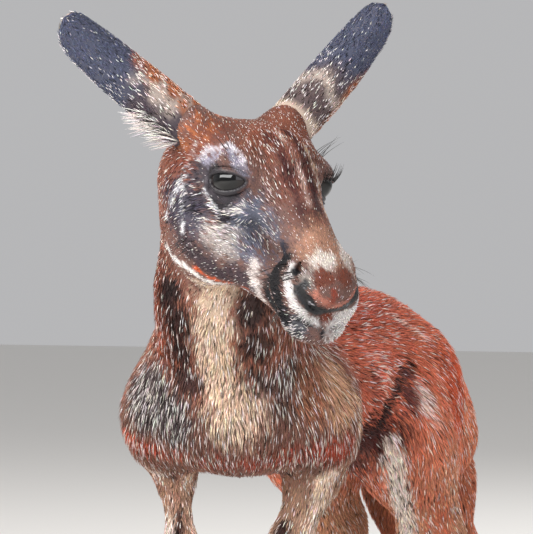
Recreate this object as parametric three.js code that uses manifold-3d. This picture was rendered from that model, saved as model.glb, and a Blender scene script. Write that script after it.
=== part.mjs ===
/**
 * A red kangaroo, life size, standing quietly on all fours with its head turned to its own left.
 *
 * The body is one smooth surface, blended from tapered limbs and ovals, and is parted by thin cuts
 * into the pieces that a person would name: head, lower jaw, neck, chest, thigh, shin and so on.
 * Millimetres, +Z up. The trunk lies along Y with the chest toward -Y, so the animal's left is +X.
 */
import * as THREE from 'three';
import { mergeVertices } from 'three/addons/utils/BufferGeometryUtils.js';
import Module from 'manifold-3d';

const wasm = await Module();
wasm.setup();

// ---- Driving dimensions -------------------------------------------------------------------------

const GAP = 0.4; // between neighbouring pieces
const CLAW_GAP = 1.2; // between a claw and its toe, along the claw
const SKIN_BELOW_FLOOR = 4; // soles and tail are made this much too low, then cut flat at the floor

const HEAD_AT = [113, -185, 588]; // midway between the eyes
const HEAD_YAW = 64; // degrees, toward the animal's left
const HEAD_PITCH = 46; // degrees, nose down
const EYE_RADIUS = 19;
const EYE_AT = [42, 2, 0]; // left eye in the head's own frame; the right one is its mirror
const EAR_LENGTH = 157;
/** Middle of each ear's root in the head's own frame; the ears are turned differently. */
const EAR_ROOT = { '-1': [-46, 47, 4], 1: [20, 44, 8] };

const CHEST_TWIST = 16; // degrees, the forequarters turn a little toward the animal's left
const ARM_SPREAD = 68; // half the distance between the elbows
/** How far each paw stands from the middle, in the chest's frame. */
const PAW_SPREAD = { '-1': 40, 1: 31 };
const ELBOW_HEIGHT = 322;
const WRIST_HEIGHT = 48;

const LEG_SPREAD = 70; // half the distance between the hind feet
const STRIDE = 68; // how much further back the right hind leg stands
const RIGHT_LEG_IN = 0.88; // the right hind leg stands nearer the middle, by this share
const HIP = [44, 294, 386];
const KNEE = [78, 212, 350];
const ANKLE = [LEG_SPREAD, 424, 74];
const FOOT_LENGTH = 300; // heel to the pad of the long toe, without its claw

const TAIL_SHARES = [0.32, 0.54, 0.77]; // of the tail's route, where its four lengths are parted
const SIDES = [-1, 1]; // right, left

const COLOURS = {
  russet: 0xa4532f, rust: 0x8e3f22, slate: 0x59555c, cream: 0xcbb496, grizzle: 0x7d6558,
  nose: 0x2b2322, eye: 0x120c0a, claw: 0x1f1a18,
};

// ---- Small vector helpers -----------------------------------------------------------------------

const vector = ([x, y, z]) => new THREE.Vector3(x, y, z);
const radians = THREE.MathUtils.degToRad;
const mix = THREE.MathUtils.lerp;
const mixPoints = (a, b, t) => a.map((value, axis) => mix(value, b[axis], t));
const mirrored = (point, side) => [point[0] * side, point[1], point[2]];

const headFrame = new THREE.Matrix4()
  .makeRotationZ(radians(HEAD_YAW))
  .multiply(new THREE.Matrix4().makeRotationX(radians(HEAD_PITCH)))
  .setPosition(...HEAD_AT);
const chestFrame = new THREE.Matrix4().makeRotationZ(radians(CHEST_TWIST));

const placed = (point, frame) => vector(point).applyMatrix4(frame).toArray();
const inHead = (point) => placed(point, headFrame);
const inChest = (point) => placed(point, chestFrame);

// ---- Distance fields ----------------------------------------------------------------------------

/** A limb that tapers from radius ra at a to radius rb at b. */
function limb(a, b, ra, rb, blend) {
  const [ax, ay, az] = a;
  const [dx, dy, dz] = [b[0] - ax, b[1] - ay, b[2] - az];
  const lengthSquared = dx * dx + dy * dy + dz * dz || 1;
  const distance = (x, y, z) => {
    const along = ((x - ax) * dx + (y - ay) * dy + (z - az) * dz) / lengthSquared;
    const t = Math.min(1, Math.max(0, along));
    return Math.hypot(x - ax - dx * t, y - ay - dy * t, z - az - dz * t) - mix(ra, rb, t);
  };
  return { distance, blend };
}

/** An oval of three radii about a centre, turned by a frame's rotation and then pitched about X. */
function oval(centre, radii, blend, frame = new THREE.Matrix4(), pitch = 0) {
  const turn = new THREE.Matrix4().extractRotation(frame);
  turn.multiply(new THREE.Matrix4().makeRotationX(radians(pitch)));
  const e = turn.elements;
  const [cx, cy, cz] = centre;
  const [rx, ry, rz] = radii;
  const distance = (x, y, z) => {
    const [px, py, pz] = [x - cx, y - cy, z - cz];
    const u = (e[0] * px + e[1] * py + e[2] * pz) / rx;
    const v = (e[4] * px + e[5] * py + e[6] * pz) / ry;
    const w = (e[8] * px + e[9] * py + e[10] * pz) / rz;
    const size = Math.hypot(u, v, w);
    const slope = Math.hypot(u / rx, v / ry, w / rz);
    return slope > 0 ? (size * (size - 1)) / slope : -Math.min(rx, ry, rz);
  };
  return { distance, blend };
}

const headOval = (centre, radii, blend, pitch = 0) =>
  oval(inHead(centre), radii, blend, headFrame, pitch);
const headLimb = (a, b, ra, rb, blend) => limb(inHead(a), inHead(b), ra, rb, blend);
const chestOval = (centre, radii, blend, pitch = 0) =>
  oval(inChest(centre), radii, blend, chestFrame, pitch);
const chestLimb = (a, b, ra, rb, blend) => limb(inChest(a), inChest(b), ra, rb, blend);

/** Smooth minimum of two distances. */
function blendTogether(a, b, width) {
  const share = Math.max(width - Math.abs(a - b), 0) / width;
  return Math.min(a, b) - (share * share * width) / 4;
}

/** The distance field of many shapes blended in turn. */
function blendOf(shapes) {
  return (x, y, z) => {
    let distance = Infinity;
    for (const shape of shapes) {
      distance = blendTogether(distance, shape.distance(x, y, z), shape.blend);
    }
    return distance;
  };
}

// ---- The animal's shape -------------------------------------------------------------------------

/** The barrel of the body: ribs, breast, belly, loin and rump. */
function trunkShapes() {
  return [
    oval([2, 90, 406], [92, 160, 78], 40, undefined, 4),
    oval([0, 205, 404], [86, 160, 79], 50, undefined, 4),
    oval([0, 278, 402], [80, 103, 78], 60, undefined, -10),
    chestOval([0, -28, 400], [82, 82, 68], 45),
    chestOval([0, -44, 376], [82, 58, 34], 30),
    limb([4, 10, 432], [0, 270, 432], 38, 38, 50),
  ];
}

/** The shoulder's broad mass and the folded upper arm on one side. */
function shoulderShapes(side) {
  return [
    chestOval([side * 65, -10, 385], [42, 62, 50], 30),
    chestLimb([side * 71, -16, 376], [side * 72, 14, 358], 31, 27, 28),
  ];
}

/** Neck: rises from the chest and curves toward the head. */
function neckShapes() {
  const base = [8, -42, 424];
  const middle = [36, -108, 492];
  const nape = inHead([-14, 40, -40]);
  return [
    limb([2, 0, 412], base, 66, 60, 40),
    limb(base, middle, 60, 57, 50),
    limb(middle, nape, 57, 54, 40),
  ];
}

/** How thick each forearm is, and how far in it leans between elbow and wrist. */
const ARM_BUILD = { '-1': 0.72, 1: 1.04 };
const ARM_LEAN = { '-1': [0, 9], 1: [5, 25] }; // at the elbow and below it

/** One forearm, from the elbow to the wrist. */
function forearmShapes(side) {
  const build = ARM_BUILD[side];
  const [lean, lowerLean] = ARM_LEAN[side];
  const elbow = [side * (ARM_SPREAD - lean), 26, ELBOW_HEIGHT];
  const belly = [side * (ARM_SPREAD - lowerLean), 8, ELBOW_HEIGHT - 62];
  const wrist = [side * PAW_SPREAD[side], -26, WRIST_HEIGHT];
  return [
    chestLimb([side * (ARM_SPREAD + 2), 4, 354], elbow, 27, 22 * build, 26),
    chestLimb(elbow, belly, 22 * build, 18 * build, 20),
    chestLimb(belly, wrist, 18 * build, 13.5 * build, 18),
  ];
}

const FINGERS = [-2, -1, 0, 1, 2];

/** Ends of one finger, from knuckle to tip, in the chest's frame. */
function finger(side, index) {
  const fan = index * 0.17;
  const reach = 40 - 5 * Math.abs(index);
  const knuckle = [side * PAW_SPREAD[side] + index * 8.5, -58 + 2.5 * Math.abs(index), 13];
  const tip = [knuckle[0] + Math.sin(fan) * reach, knuckle[1] - Math.cos(fan) * reach, 8];
  return { knuckle, tip };
}

/** One forepaw: heel of the hand, palm and five fingers. */
function pawShapes(side) {
  const across = side * PAW_SPREAD[side];
  const fingers = FINGERS.map((index) => {
    const { knuckle, tip } = finger(side, index);
    return chestLimb(knuckle, tip, 10, 8, 7);
  });
  return [
    chestLimb([across, -27, WRIST_HEIGHT], [across, -36, 18], 16, 17, 14),
    chestOval([across, -48, 15], [25, 24, 16], 12),
    ...fingers,
  ];
}

/** A point of one hind leg; the right leg is the left one mirrored and set further back and in. */
function legPoint([x, y, z], side, share = 1) {
  return side < 0 ? [-x * mix(1, RIGHT_LEG_IN, share), y + STRIDE * share, z] : [x, y, z];
}

/** One thigh and buttock, folded against the flank. */
function thighShapes(side) {
  const at = (point, share) => legPoint(point, side, share);
  return [
    limb(at(HIP, 0), at(KNEE), 52, 40, 40),
    oval(at([60, 264, 370], 0.4), [37, 108, 72], 40, undefined, 10),
    oval(at([42, 360, 356], 0), [40, 47, 66], 40, undefined, -10),
    limb(at([58, 352, 338], 0.3), at([66, 250, 318], 0.7), 43, 37, 36),
  ];
}

/** One lower leg, from the knee down and back to the ankle: tibia in front, calf behind. */
function shinShapes(side) {
  const at = (point) => legPoint(point, side);
  const calf = mixPoints(KNEE, ANKLE, 0.4);
  const calfBack = [calf[0] - 2, calf[1] + 22, calf[2]];
  return [
    limb(at([KNEE[0], KNEE[1] + 14, KNEE[2] - 10]), at(calf), 35, 27, 30),
    limb(at(calf), at(ANKLE), 27, 19, 26),
    limb(at([KNEE[0] - 4, KNEE[1] + 44, KNEE[2] - 18]), at(calfBack), 31, 24, 26),
    limb(at(calfBack), at([ANKLE[0], ANKLE[1] + 8, 128]), 24, 12, 22),
  ];
}

const HEEL_Y = ANKLE[1] + 28;

/** Toes of one hind foot: the long fourth, the fifth beside it and the two joined small ones. */
function toes(side) {
  const front = HEEL_Y - FOOT_LENGTH;
  const toe = (across, start, end, thick, thin) => ({
    root: legPoint([LEG_SPREAD + across[0], front + start, thick + 1], side),
    tip: legPoint([LEG_SPREAD + across[1], front + end, thin], side),
    thick,
    thin,
  });
  return {
    fourth: toe([4, 8], 92, 12, 17, 12),
    fifth: toe([21, 33], 92, 44, 12, 9),
    third: toe([-14, -17], 88, 52, 8, 6.5),
    second: toe([-21, -27], 92, 54, 7.5, 6),
  };
}

/** One long hind foot lying flat. */
function footShapes(side) {
  const at = (point) => legPoint(point, side);
  const ball = [LEG_SPREAD + 4, HEEL_Y - FOOT_LENGTH + 96, 20];
  return [
    limb(at(ANKLE), at([LEG_SPREAD, HEEL_Y - 22, 28]), 22, 24, 22),
    limb(at([LEG_SPREAD, HEEL_Y - 24, 22]), at(ball), 24, 22, 20),
    ...Object.values(toes(side)).map((toe) => limb(toe.root, toe.tip, toe.thick, toe.thin, 8)),
  ];
}

const TAIL_ROUTE = [
  [0, 418, 384], [0, 462, 284], [0, 518, 182], [0, 600, 92],
  [-6, 716, 42], [-24, 850, 28], [-54, 975, 19], [-94, 1085, 11],
];
const TAIL_RADII = [58, 54, 48, 42, 35, 27, 19, 12];

/** The tail drops from the rump and lies along the floor behind. */
function tailShapes() {
  return TAIL_ROUTE.slice(1).map((point, i) =>
    limb(TAIL_ROUTE[i], point, TAIL_RADII[i], TAIL_RADII[i + 1], 46 - 5 * i));
}

/** Skull, muzzle, cheeks and jaw, without ears and eyes. */
function headShapes() {
  const pairs = SIDES.flatMap((side) => [
    headOval([side * 31, 30, -20], [25, 42, 37], 22),
    headOval([side * 38, 0, -14], [16, 30, 14], 16),
    headOval([side * 33, 10, 14], [14, 21, 9], 14),
    headOval([side * 33, 0, -66], [27, 46, 40], 16),
    headLimb([0, -86, -46], [side * 28, -8, -60], 19, 28, 14),
    headOval([side * 21, -101, -26], [20, 28, 20], 12),
    headLimb([side * 28, 31, -4], earPoint(side, 0.1), 20, 19, 18),
  ]);
  return [
    headOval([0, 14, -4], [43, 50, 39], 20),
    headLimb([0, 2, 2], [-1, -84, -4], 31, 22, 22),
    headOval([-2, -103, -11], [31, 31, 24], 14),
    headOval([2, -115, -45], [30, 25, 19], 10),
    ...pairs,
  ];
}

// ---- Ears ---------------------------------------------------------------------------------------

/** Which way each ear points, in the head's own frame: outward, back and up. */
const EAR_AIM = { '-1': [-0.71, 0.64, 0.18], 1: [0.656, 0.399, 0.642] };
/** Which way each ear's open side faces. */
const EAR_FACING = { '-1': [0.42, 0.5, -0.75], 1: [0.66, 0.18, -0.66] };

/** Axes of one ear: along its length, out of its open side, and across. */
function earAxes(side) {
  const along = vector(EAR_AIM[side]).normalize();
  const facing = vector(EAR_FACING[side]);
  facing.addScaledVector(along, -facing.dot(along)).normalize();
  return { along, facing, across: new THREE.Vector3().crossVectors(facing, along) };
}

/** A point on one ear's axis, as a share of its length, in the head's frame. */
function earPoint(side, share) {
  const { along } = earAxes(side);
  return vector(EAR_ROOT[side]).addScaledVector(along, share * EAR_LENGTH).toArray();
}

const EAR_START = 0.14; // share of the length where the ear leaves the head

/** Radius of the ear's curl and how far round it reaches, at a share of the length. */
function earSection(t) {
  const towardTip = Math.max(0, (t - 0.72) / 0.28);
  const taper = Math.sqrt(Math.max(0.01, 1 - towardTip * towardTip));
  return { curl: mix(2.75, 1.35, Math.min(1, t * 1.4)) * taper, radius: 19.5 + 6 * t - 7.5 * t * t };
}

/** A point of the ear's sheet; lift moves it off the middle of the sheet. */
function earSheet(side, t, s, lift) {
  const { along, facing, across } = earAxes(side);
  const { curl, radius } = earSection(t);
  const angle = s * curl;
  const reach = mix(EAR_START, 1, t);
  const r = radius + lift;
  return vector(earPoint(side, reach))
    .addScaledVector(facing, radius * 0.55 - r * Math.cos(angle))
    .addScaledVector(across, r * Math.sin(angle))
    .applyMatrix4(headFrame);
}

/** One ear: a curled leaf, thick at the root and thin at the rim, closed all round. */
function earGeometry(side) {
  const [rows, columns] = [8, 7];
  const positions = [];
  const index = [];
  const cell = (sheet, i, j) => (sheet * (rows + 1) + i) * (columns + 1) + j;
  for (const sheet of [0, 1]) {
    for (let i = 0; i <= rows; i++) {
      for (let j = 0; j <= columns; j++) {
        const t = i / rows;
        const s = (2 * j) / columns - 1;
        const half = mix(2.6, 1.3, t) * mix(1, 0.55, Math.abs(s));
        positions.push(...earSheet(side, t, s, sheet ? -half : half).toArray());
      }
    }
  }
  const quad = (a, b, c, d) => index.push(a, b, c, a, c, d);
  for (let i = 0; i < rows; i++) {
    for (let j = 0; j < columns; j++) {
      quad(cell(0, i, j), cell(0, i, j + 1), cell(0, i + 1, j + 1), cell(0, i + 1, j));
      quad(cell(1, i, j), cell(1, i + 1, j), cell(1, i + 1, j + 1), cell(1, i, j + 1));
    }
    quad(cell(0, i, 0), cell(0, i + 1, 0), cell(1, i + 1, 0), cell(1, i, 0));
    quad(cell(1, i, columns), cell(1, i + 1, columns), cell(0, i + 1, columns), cell(0, i, columns));
  }
  for (let j = 0; j < columns; j++) {
    quad(cell(0, 0, j), cell(1, 0, j), cell(1, 0, j + 1), cell(0, 0, j + 1));
    quad(cell(0, rows, j), cell(0, rows, j + 1), cell(1, rows, j + 1), cell(1, rows, j));
  }
  const geometry = new THREE.BufferGeometry();
  geometry.setAttribute('position', new THREE.Float32BufferAttribute(positions, 3));
  geometry.setIndex(index);
  return geometry;
}

// ---- Turning a distance field into a mesh -------------------------------------------------------

/** Corners of a grid cell, as offsets. */
const CORNERS = [0, 1, 2, 3, 4, 5, 6, 7].map((n) => [n & 1, (n >> 1) & 1, (n >> 2) & 1]);
const CELL_EDGES = CORNERS.flatMap((_, a) =>
  [1, 2, 4].filter((bit) => !(a & bit)).map((bit) => [a, a | bit]));

/** Moves a point onto the surface along the field's slope. */
function ontoSurface(field, point, furthest) {
  const step = 0.5;
  for (let round = 0; round < 3; round++) {
    const [x, y, z] = point;
    const here = field(x, y, z);
    const slope = [
      field(x + step, y, z) - here, field(x, y + step, z) - here, field(x, y, z + step) - here,
    ].map((difference) => difference / step);
    const steep = slope.reduce((sum, value) => sum + value * value, 1e-9);
    const move = Math.max(-furthest, Math.min(furthest, here / steep));
    slope.forEach((value, axis) => { point[axis] -= move * value; });
  }
  return point;
}

/** Meshes the surface of a field inside a box, one vertex to each cell that the surface crosses. */
function meshField(field, low, high, cell) {
  const count = low.map((value, axis) => Math.ceil((high[axis] - value) / cell[axis]) + 1);
  const at = (i, j, k) => (k * count[1] + j) * count[0] + i;
  const values = new Float64Array(count[0] * count[1] * count[2]);
  for (let k = 0; k < count[2]; k++) {
    for (let j = 0; j < count[1]; j++) {
      for (let i = 0; i < count[0]; i++) {
        const edge = [i, j, k].some((n, axis) => n === 0 || n === count[axis] - 1);
        const point = [i, j, k].map((n, axis) => low[axis] + n * cell[axis]);
        const value = field(...point) || 1e-6;
        values[at(i, j, k)] = edge ? Math.max(value, 1e-3) : value;
      }
    }
  }
  const positions = [];
  const vertexOf = new Map();
  for (let k = 0; k < count[2] - 1; k++) {
    for (let j = 0; j < count[1] - 1; j++) {
      for (let i = 0; i < count[0] - 1; i++) {
        const corner = CORNERS.map(([a, b, c]) => values[at(i + a, j + b, k + c)]);
        const crossed = CELL_EDGES.filter(([a, b]) => corner[a] < 0 !== corner[b] < 0);
        if (crossed.length === 0) continue;
        const middle = [0, 0, 0];
        for (const [a, b] of crossed) {
          const t = corner[a] / (corner[a] - corner[b]);
          middle.forEach((_, axis) => {
            middle[axis] += mix(CORNERS[a][axis], CORNERS[b][axis], t) / crossed.length;
          });
        }
        const point = [i, j, k].map((n, axis) => low[axis] + (n + middle[axis]) * cell[axis]);
        const atEdge = [i, j, k].some((n, axis) => n === 0 || n === count[axis] - 2);
        vertexOf.set(at(i, j, k), positions.length / 3);
        positions.push(...(atEdge ? point : ontoSurface(field, point, Math.min(...cell) * 0.4)));
      }
    }
  }
  const index = [];
  const distance = (a, b) =>
    Math.hypot(...[0, 1, 2].map((n) => positions[a * 3 + n] - positions[b * 3 + n]));
  const quads = [];
  const joined = new Set();
  const pair = (a, b) => `${Math.min(a, b)} ${Math.max(a, b)}`;
  const last = count.map((n) => n - 1);
  for (let k = 0; k < last[2]; k++) {
    for (let j = 0; j < last[1]; j++) {
      for (let i = 0; i < last[0]; i++) {
        const start = [i, j, k];
        for (const axis of [0, 1, 2]) {
          const [u, v] = [(axis + 1) % 3, (axis + 2) % 3];
          if (start[u] === 0 || start[v] === 0) continue;
          const end = start.map((n, n3) => n + (n3 === axis ? 1 : 0));
          const inside = values[at(...start)] < 0;
          if (inside === values[at(...end)] < 0) continue;
          const corners = [[0, 0], [1, 0], [1, 1], [0, 1]].map(([a, b]) => {
            const where = start.slice();
            where[u] -= a;
            where[v] -= b;
            return vertexOf.get(at(...where));
          });
          quads.push(inside ? corners : corners.reverse());
        }
      }
    }
  }
  for (const [a, b, c, d] of quads) {
    [[a, b], [b, c], [c, d], [d, a]].forEach((side) => joined.add(pair(...side)));
  }
  for (const [a, b, c, d] of quads) {
    const shorter = distance(a, c) < distance(b, d);
    const first = joined.has(pair(a, c)) || (!shorter && !joined.has(pair(b, d)));
    joined.add(first ? pair(b, d) : pair(a, c));
    index.push(...(first ? [b, c, d, b, d, a] : [a, b, c, a, c, d]));
  }
  const geometry = new THREE.BufferGeometry();
  geometry.setAttribute('position', new THREE.Float32BufferAttribute(positions, 3));
  geometry.setIndex(index);
  return geometry;
}

// ---- Solids and cuts ----------------------------------------------------------------------------

/** A closed geometry as a solid that can be cut. */
function solid(geometry) {
  const bare = geometry.clone();
  bare.deleteAttribute('normal');
  bare.deleteAttribute('uv');
  const merged = mergeVertices(bare, 1e-4);
  const made = new wasm.Manifold(new wasm.Mesh({
    numProp: 3,
    vertProperties: new Float32Array(merged.attributes.position.array),
    triVerts: new Uint32Array(merged.index.array),
  }));
  if (made.volume() <= 0) throw new Error('a solid came out empty or inside out');
  return made;
}

const SHORTEST_EDGE = 0.05;

/** Closes up edges too short to matter, one at a time, wherever that leaves the surface whole. */
function withoutCrumbs(at, triangles) {
  const length = (a, b) => Math.hypot(...[0, 1, 2].map((axis) => at[a * 3 + axis] - at[b * 3 + axis]));
  let faces = [];
  for (let n = 0; n < triangles.length; n += 3) faces.push([...triangles.slice(n, n + 3)]);
  const shortEdge = () => {
    for (const [a, b, c] of faces) {
      for (const [from, to] of [[a, b], [b, c], [c, a]]) {
        if (length(from, to) >= SHORTEST_EDGE) continue;
        const near = (v) => new Set(faces.filter((face) => face.includes(v)).flat());
        const others = near(to);
        const shared = [...near(from)].filter((v) => v !== from && v !== to && others.has(v));
        if (shared.length === 2) return [from, to];
      }
    }
    return null;
  };
  for (let edge = shortEdge(); edge; edge = shortEdge()) {
    const [kept, dropped] = edge;
    faces = faces.map((face) => face.map((v) => (v === dropped ? kept : v)))
      .filter(([a, b, c]) => a !== b && b !== c && c !== a);
  }
  return faces.flat();
}

/** Turns one edge wherever two pairs of triangles share the same edge, so that only one pair does. */
function withoutTwins(at, triangles) {
  const point = (v) => new THREE.Vector3(at[v * 3], at[v * 3 + 1], at[v * 3 + 2]);
  const facing = (a, b, c) =>
    new THREE.Triangle(point(a), point(b), point(c)).getNormal(new THREE.Vector3());
  const faces = [];
  for (let n = 0; n < triangles.length; n += 3) faces.push([...triangles.slice(n, n + 3)]);
  const opposite = (face, a, b) => face.find((v) => v !== a && v !== b);
  for (let rounds = 0; rounds < 20; rounds++) {
    const users = new Map();
    faces.forEach((face, n) => face.forEach((a, corner) => {
      const key = `${a} ${face[(corner + 1) % 3]}`;
      users.set(key, [...(users.get(key) ?? []), n]);
    }));
    const twin = [...users.keys()].find((key) => users.get(key).length > 1);
    if (!twin) return faces.flat();
    const [a, b] = twin.split(' ').map(Number);
    const choices = users.get(twin).flatMap((f) => users.get(`${b} ${a}`).map((g) => {
      const [c, d] = [opposite(faces[f], a, b), opposite(faces[g], a, b)];
      const taken = c === d || users.has(`${c} ${d}`) || users.has(`${d} ${c}`);
      return { f, g, c, d, flatness: taken ? -2 : facing(a, b, c).dot(facing(b, a, d)) };
    }));
    const { f, g, c, d } = choices.sort((one, other) => other.flatness - one.flatness)[0];
    faces[f] = [a, d, c];
    faces[g] = [d, b, c];
  }
  throw new Error('doubled edges remain');
}

/** A solid as a geometry again, each corner stored once. */
function geometryOf(made) {
  const mesh = made.getMesh();
  const loose = new THREE.BufferGeometry();
  loose.setAttribute('position', new THREE.BufferAttribute(mesh.vertProperties, 3));
  loose.setIndex(Array.from(mesh.triVerts));
  const geometry = mergeVertices(loose, 1e-4);
  const at = geometry.attributes.position.array;
  geometry.setIndex(withoutTwins(at, withoutCrumbs(at, Array.from(geometry.index.array))));
  geometry.computeVertexNormals();
  return geometry;
}

const REACH = 4000; // larger than the animal

/** Everything on the side of a plane that its normal points away from. */
function behind(point, normal, gap = 0) {
  const box = new THREE.BoxGeometry(REACH, REACH, REACH);
  const direction = vector(normal).normalize();
  const turn = new THREE.Quaternion().setFromUnitVectors(new THREE.Vector3(0, 0, 1), direction);
  box.applyQuaternion(turn);
  const middle = vector(point).addScaledVector(direction, gap - REACH / 2);
  box.translate(middle.x, middle.y, middle.z);
  return solid(box);
}

/** Parts a solid at a plane, leaving a thin gap; the normal points from the first to the second. */
function partAt(whole, point, normal) {
  return [
    whole.intersect(behind(point, normal, -GAP / 2)),
    whole.subtract(behind(point, normal, GAP / 2)),
  ];
}

/** An oval solid, used as a curved cutter. */
function ovalSolid(centre, radii, turn, detail = [20, 14]) {
  const geometry = new THREE.SphereGeometry(1, ...detail);
  geometry.scale(...radii);
  geometry.applyQuaternion(turn);
  geometry.translate(...centre);
  return solid(geometry);
}

/** Takes an oval piece out of a solid; returns the piece and the rest, with a thin gap between. */
function scoop(whole, centre, radii, turn, detail) {
  const grown = radii.map((radius) => radius + GAP);
  return [
    whole.intersect(ovalSolid(centre, radii, turn, detail)),
    whole.subtract(ovalSolid(centre, grown, turn, detail)),
  ];
}

const floor = behind([0, 0, 0], [0, 0, 1]);

const SOLE_ZONE = 40;
const soleStretch = (z) => (z < SOLE_ZONE ? SKIN_BELOW_FLOOR * (1 - z / SOLE_ZONE) : 0);

/**
 * The mesh of some blended shapes inside a box, cut flat at the floor. Near the floor the shapes are
 * stretched down a little, so that soles and tail come to rest on small flats.
 */
function bodyIn(shapes, low, high, cell) {
  const blended = blendOf(shapes);
  const field = (x, y, z) => blended(x, y, z + soleStretch(z));
  return solid(meshField(field, low, high, cell)).subtract(floor);
}

const bothSides = (shapes) => SIDES.flatMap(shapes);
const core = () => [
  ...trunkShapes(), ...neckShapes(), ...bothSides(shoulderShapes), ...bothSides(thighShapes),
];

/** A box about a middle, given as a solid in a frame. */
function block(low, high, frame = new THREE.Matrix4()) {
  const size = low.map((value, axis) => high[axis] - value);
  const geometry = new THREE.BoxGeometry(...size);
  geometry.translate(...low.map((value, axis) => (value + high[axis]) / 2));
  geometry.applyMatrix4(frame);
  return solid(geometry);
}

/** Takes a boxed piece out of a solid; returns the piece and the rest. */
function boxOut(whole, low, high, frame) {
  const grownLow = low.map((value) => value - GAP);
  const grownHigh = high.map((value) => value + GAP);
  return [whole.intersect(block(low, high, frame)), whole.subtract(block(grownLow, grownHigh, frame))];
}

/** The turn that lays the Z axis along a direction. */
const turnTo = (direction) => new THREE.Quaternion()
  .setFromUnitVectors(new THREE.Vector3(0, 0, 1), direction.clone().normalize());
const sideName = (side) => (side > 0 ? 'left' : 'right');

/** A curved claw that starts inside a toe's tip and points forward and down. */
function clawSolid(root, direction, length, thickness) {
  const [rings, around] = [3, 4];
  const forward = direction.clone().normalize();
  const across = new THREE.Vector3(0, 0, 1).cross(forward).normalize();
  const up = new THREE.Vector3().crossVectors(forward, across);
  const positions = [];
  for (let ring = 0; ring <= rings; ring++) {
    const t = ring / rings;
    const radius = (thickness / 2) * Math.pow(1 - t, 0.7) + 0.35;
    const droop = -0.3 * length * t * t;
    const middle = vector(root).addScaledVector(forward, length * t).addScaledVector(up, droop);
    for (let step = 0; step < around; step++) {
      const angle = (step / around) * Math.PI * 2;
      const point = middle.clone().addScaledVector(across, radius * 0.72 * Math.cos(angle))
        .addScaledVector(up, radius * Math.sin(angle));
      positions.push(...point.toArray());
    }
  }
  const index = [];
  for (let ring = 0; ring < rings; ring++) {
    for (let step = 0; step < around; step++) {
      const next = (step + 1) % around;
      const [a, b, c, d] = [ring * around + step, ring * around + next, (ring + 1) * around + next,
        (ring + 1) * around + step];
      index.push(a, b, c, a, c, d);
    }
  }
  for (let step = 1; step < around - 1; step++) {
    index.push(0, step + 1, step);
    index.push(rings * around, rings * around + step, rings * around + step + 1);
  }
  const geometry = new THREE.BufferGeometry();
  geometry.setAttribute('position', new THREE.Float32BufferAttribute(positions, 3));
  geometry.setIndex(index);
  return solid(geometry);
}

// ---- The pieces ---------------------------------------------------------------------------------

const pieces = new Map();

/** Stores a piece under its name; crumbs left by a cut are dropped. */
function keep(name, whole, colour, roughness = 0.85) {
  const made = whole.decompose().sort((a, b) => b.volume() - a.volume())[0];
  pieces.set(name, { made, colour, roughness });
}

/** Head, lower jaw, nose, eyes and ears. */
function buildHead() {
  const low = HEAD_AT.map((value) => value - 150);
  const high = HEAD_AT.map((value) => value + 130);
  const whole = bodyIn([...neckShapes(), ...headShapes()], low, high, [17.2, 17.2, 17.2]);
  let [, head] = partAt(whole, NECK_TOP.point, NECK_TOP.normal);
  for (const side of SIDES) {
    const name = sideName(side);
    const axes = earAxes(side);
    const root = new THREE.Matrix4().makeBasis(axes.across, axes.facing, axes.along)
      .setPosition(...earPoint(side, EAR_START));
    const start = new THREE.Matrix4().multiplyMatrices(headFrame, root);
    head = head.subtract(block([-60, -60, -GAP], [60, 60, 100], start));
    keep(`ear_${name}`, solid(earGeometry(side)), COLOURS.slate);
    const [eye, socket] = [0, GAP].map((extra) => ovalSolid(inHead(mirrored(EYE_AT, side)),
      [0, 0, 0].fill(EYE_RADIUS + extra), new THREE.Quaternion(), [10, 7]));
    head = head.subtract(socket);
    keep(`eye_${name}`, eye, COLOURS.eye, 0.15);
  }
  let nose;
  [nose, head] = scoop(head, inHead([0, -133, -6]), [24, 15, 17],
    new THREE.Quaternion().setFromRotationMatrix(headFrame), [10, 7]);
  keep('nose', nose, COLOURS.nose, 0.6);
  let jaw;
  [jaw, head] = boxOut(head, [-80, -150, -140], [80, 4, -35], headFrame);
  keep('lower_jaw', jaw, COLOURS.cream);
  keep('head', head, COLOURS.russet);
}

const NECK_TOP = { point: inHead([0, 30, -77]), normal: vector([0, -0.53, 0.85])
  .transformDirection(headFrame).toArray() };
const NECK_BASE = { point: inChest([6, -50, 456]), normal: [0.25, -0.45, 0.86] };

/** The shin's curved outline, used to part it from the thigh. */
function shinOval(side, extra) {
  const [knee, ankle] = [vector(legPoint(KNEE, side)), vector(legPoint(ANKLE, side))];
  const middle = knee.clone().lerp(ankle, 0.6);
  const radii = [62 + extra, 74 + extra, knee.distanceTo(ankle) * 0.54 + extra];
  return ovalSolid(middle.toArray(), radii, turnTo(ankle.sub(knee)), [12, 9]);
}

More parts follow.
